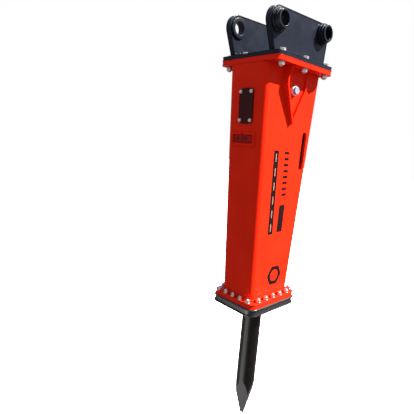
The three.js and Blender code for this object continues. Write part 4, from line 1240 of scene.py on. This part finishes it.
GROUND_LIGHT = (0.41, 0.33, 0.31, 1)
SKY_LIGHT = (0.50, 0.58, 0.74, 1)


def make_stage():
    """A plain pale floor well below the point."""
    bm = bmesh.new()
    half = 40.0
    z = tool_low.z - 0.5
    square = ((-half, -half), (half, -half), (half, half), (-half, half))
    bm.faces.new([bm.verts.new((x, y, z)) for x, y in square])
    mesh = mesh_of(bm, "floor")
    finish = Finish("pale_floor", Base_Color=grey(0.9), Roughness=0.9)
    finish.shader.inputs["Emission Color"].default_value = grey(1.0)
    finish.shader.inputs["Emission Strength"].default_value = 1.0
    mesh.materials.append(finish.material)
    floor = bpy.data.objects.new("floor", mesh)
    floor.visible_diffuse = False
    floor.visible_glossy = False
    floor.visible_shadow = False
    bpy.context.scene.collection.objects.link(floor)


def make_sky():
    """Light from all round: brighter overhead, dim at the level of the ground, plain white to the camera."""
    world = bpy.data.worlds.new("sky")
    bpy.context.scene.world = world
    world.use_nodes = True
    nodes, links = world.node_tree.nodes, world.node_tree.links
    direction = nodes.new("ShaderNodeTexCoord")
    parts = nodes.new("ShaderNodeSeparateXYZ")
    links.new(direction.outputs["Generated"], parts.inputs[0])
    ramp = nodes.new("ShaderNodeValToRGB")
    ramp.color_ramp.elements[0].color = GROUND_LIGHT
    ramp.color_ramp.elements[1].color = SKY_LIGHT
    ramp.color_ramp.elements[0].position = 0.45
    ramp.color_ramp.elements[1].position = 0.85
    upward = nodes.new("ShaderNodeMapRange")
    upward.inputs[1].default_value = -1.0
    links.new(parts.outputs[2], upward.inputs[0])
    links.new(upward.outputs[0], ramp.inputs[0])
    lighting = nodes["Background"]
    links.new(ramp.outputs[0], lighting.inputs["Color"])
    lighting.inputs["Strength"].default_value = 1.0
    seen = nodes.new("ShaderNodeBackground")
    seen.inputs["Color"].default_value = grey(1.0)
    mix = nodes.new("ShaderNodeMixShader")
    path = nodes.new("ShaderNodeLightPath")
    links.new(path.outputs["Is Camera Ray"], mix.inputs[0])
    links.new(lighting.outputs[0], mix.inputs[1])
    links.new(seen.outputs[0], mix.inputs[2])
    links.new(mix.outputs[0], nodes["World Output"].inputs["Surface"])


def make_light(name, kind, energy, towards, colour=(1, 1, 1), **settings):
    """A lamp that shines from a direction at the middle of the object."""
    lamp = bpy.data.lights.new(name, kind)
    lamp.energy = energy
    lamp.color = colour
    for key, value in settings.items():
        setattr(lamp, key, value)
    obj = bpy.data.objects.new(name, lamp)
    centre = (cad_bounds[0] + cad_bounds[1]) / 2
    obj.location = centre + Vector(towards)
    obj.rotation_mode = "QUATERNION"
    obj.rotation_quaternion = Vector(towards).to_track_quat("Z", "Y")
    bpy.context.scene.collection.objects.link(obj)
    return obj


def make_softbox():
    """A tall soft lamp in front, seen only as a gloss on the tool, the wear plate and the pin bosses."""
    place = (-0.8, -3.6, -2.6)
    softbox = make_light("softbox", "AREA", 260.0, place, shape="RECTANGLE", size=3.2, size_y=6.0)
    softbox.visible_diffuse = False
    receivers = bpy.data.collections.new("glossy_pieces")
    for obj in bpy.context.scene.objects:
        if obj.name.startswith(("tool_fine", "wear_plate_fine", "pin_boss")):
            receivers.objects.link(obj)
    softbox.light_linking.receiver_collection = receivers


def make_camera():
    """The camera: its place round the tool's axis, and which way it looks."""
    distance, place_angle, height = 2.6325, math.radians(38.405), -0.5448
    look_angle, elevation, roll = math.radians(47.085), math.radians(10.084), math.radians(4.406)
    lens, sensor = 32.265, 36.0
    back = Vector((
        math.sin(look_angle) * math.cos(elevation),
        -math.cos(look_angle) * math.cos(elevation),
        math.sin(elevation),
    ))
    right = Vector((math.cos(look_angle), math.sin(look_angle), 0))
    up = back.cross(right)
    rolled_right = right * math.cos(roll) + up * math.sin(roll)
    rolled_up = up * math.cos(roll) - right * math.sin(roll)
    place = (math.sin(place_angle) * distance, -math.cos(place_angle) * distance, height)
    camera = bpy.data.cameras.new("camera")
    camera.lens = lens
    camera.sensor_width = sensor
    camera.clip_start, camera.clip_end = 0.05, 200
    obj = bpy.data.objects.new("camera", camera)
    obj.matrix_world = place_at(place, rolled_right, rolled_up)
    bpy.context.scene.collection.objects.link(obj)
    bpy.context.scene.camera = obj


# ------------ the scene

dress_cad_nodes()
make_bracket()
make_flange_bolts()
make_stud_nuts()
make_housing()
make_flanges()
make_guard_welds()
make_cover()
make_name_plate()
make_ports()
make_tool()
make_side_marks()
make_dark_edge_lines()

make_stage()
make_sky()
make_light("sun", "SUN", 16.0, (1.53, 1.41, 2.16), (1.0, 0.94, 0.84), angle=math.radians(1.5))
make_softbox()
make_camera()
bpy.context.scene.view_settings.view_transform = "Standard"
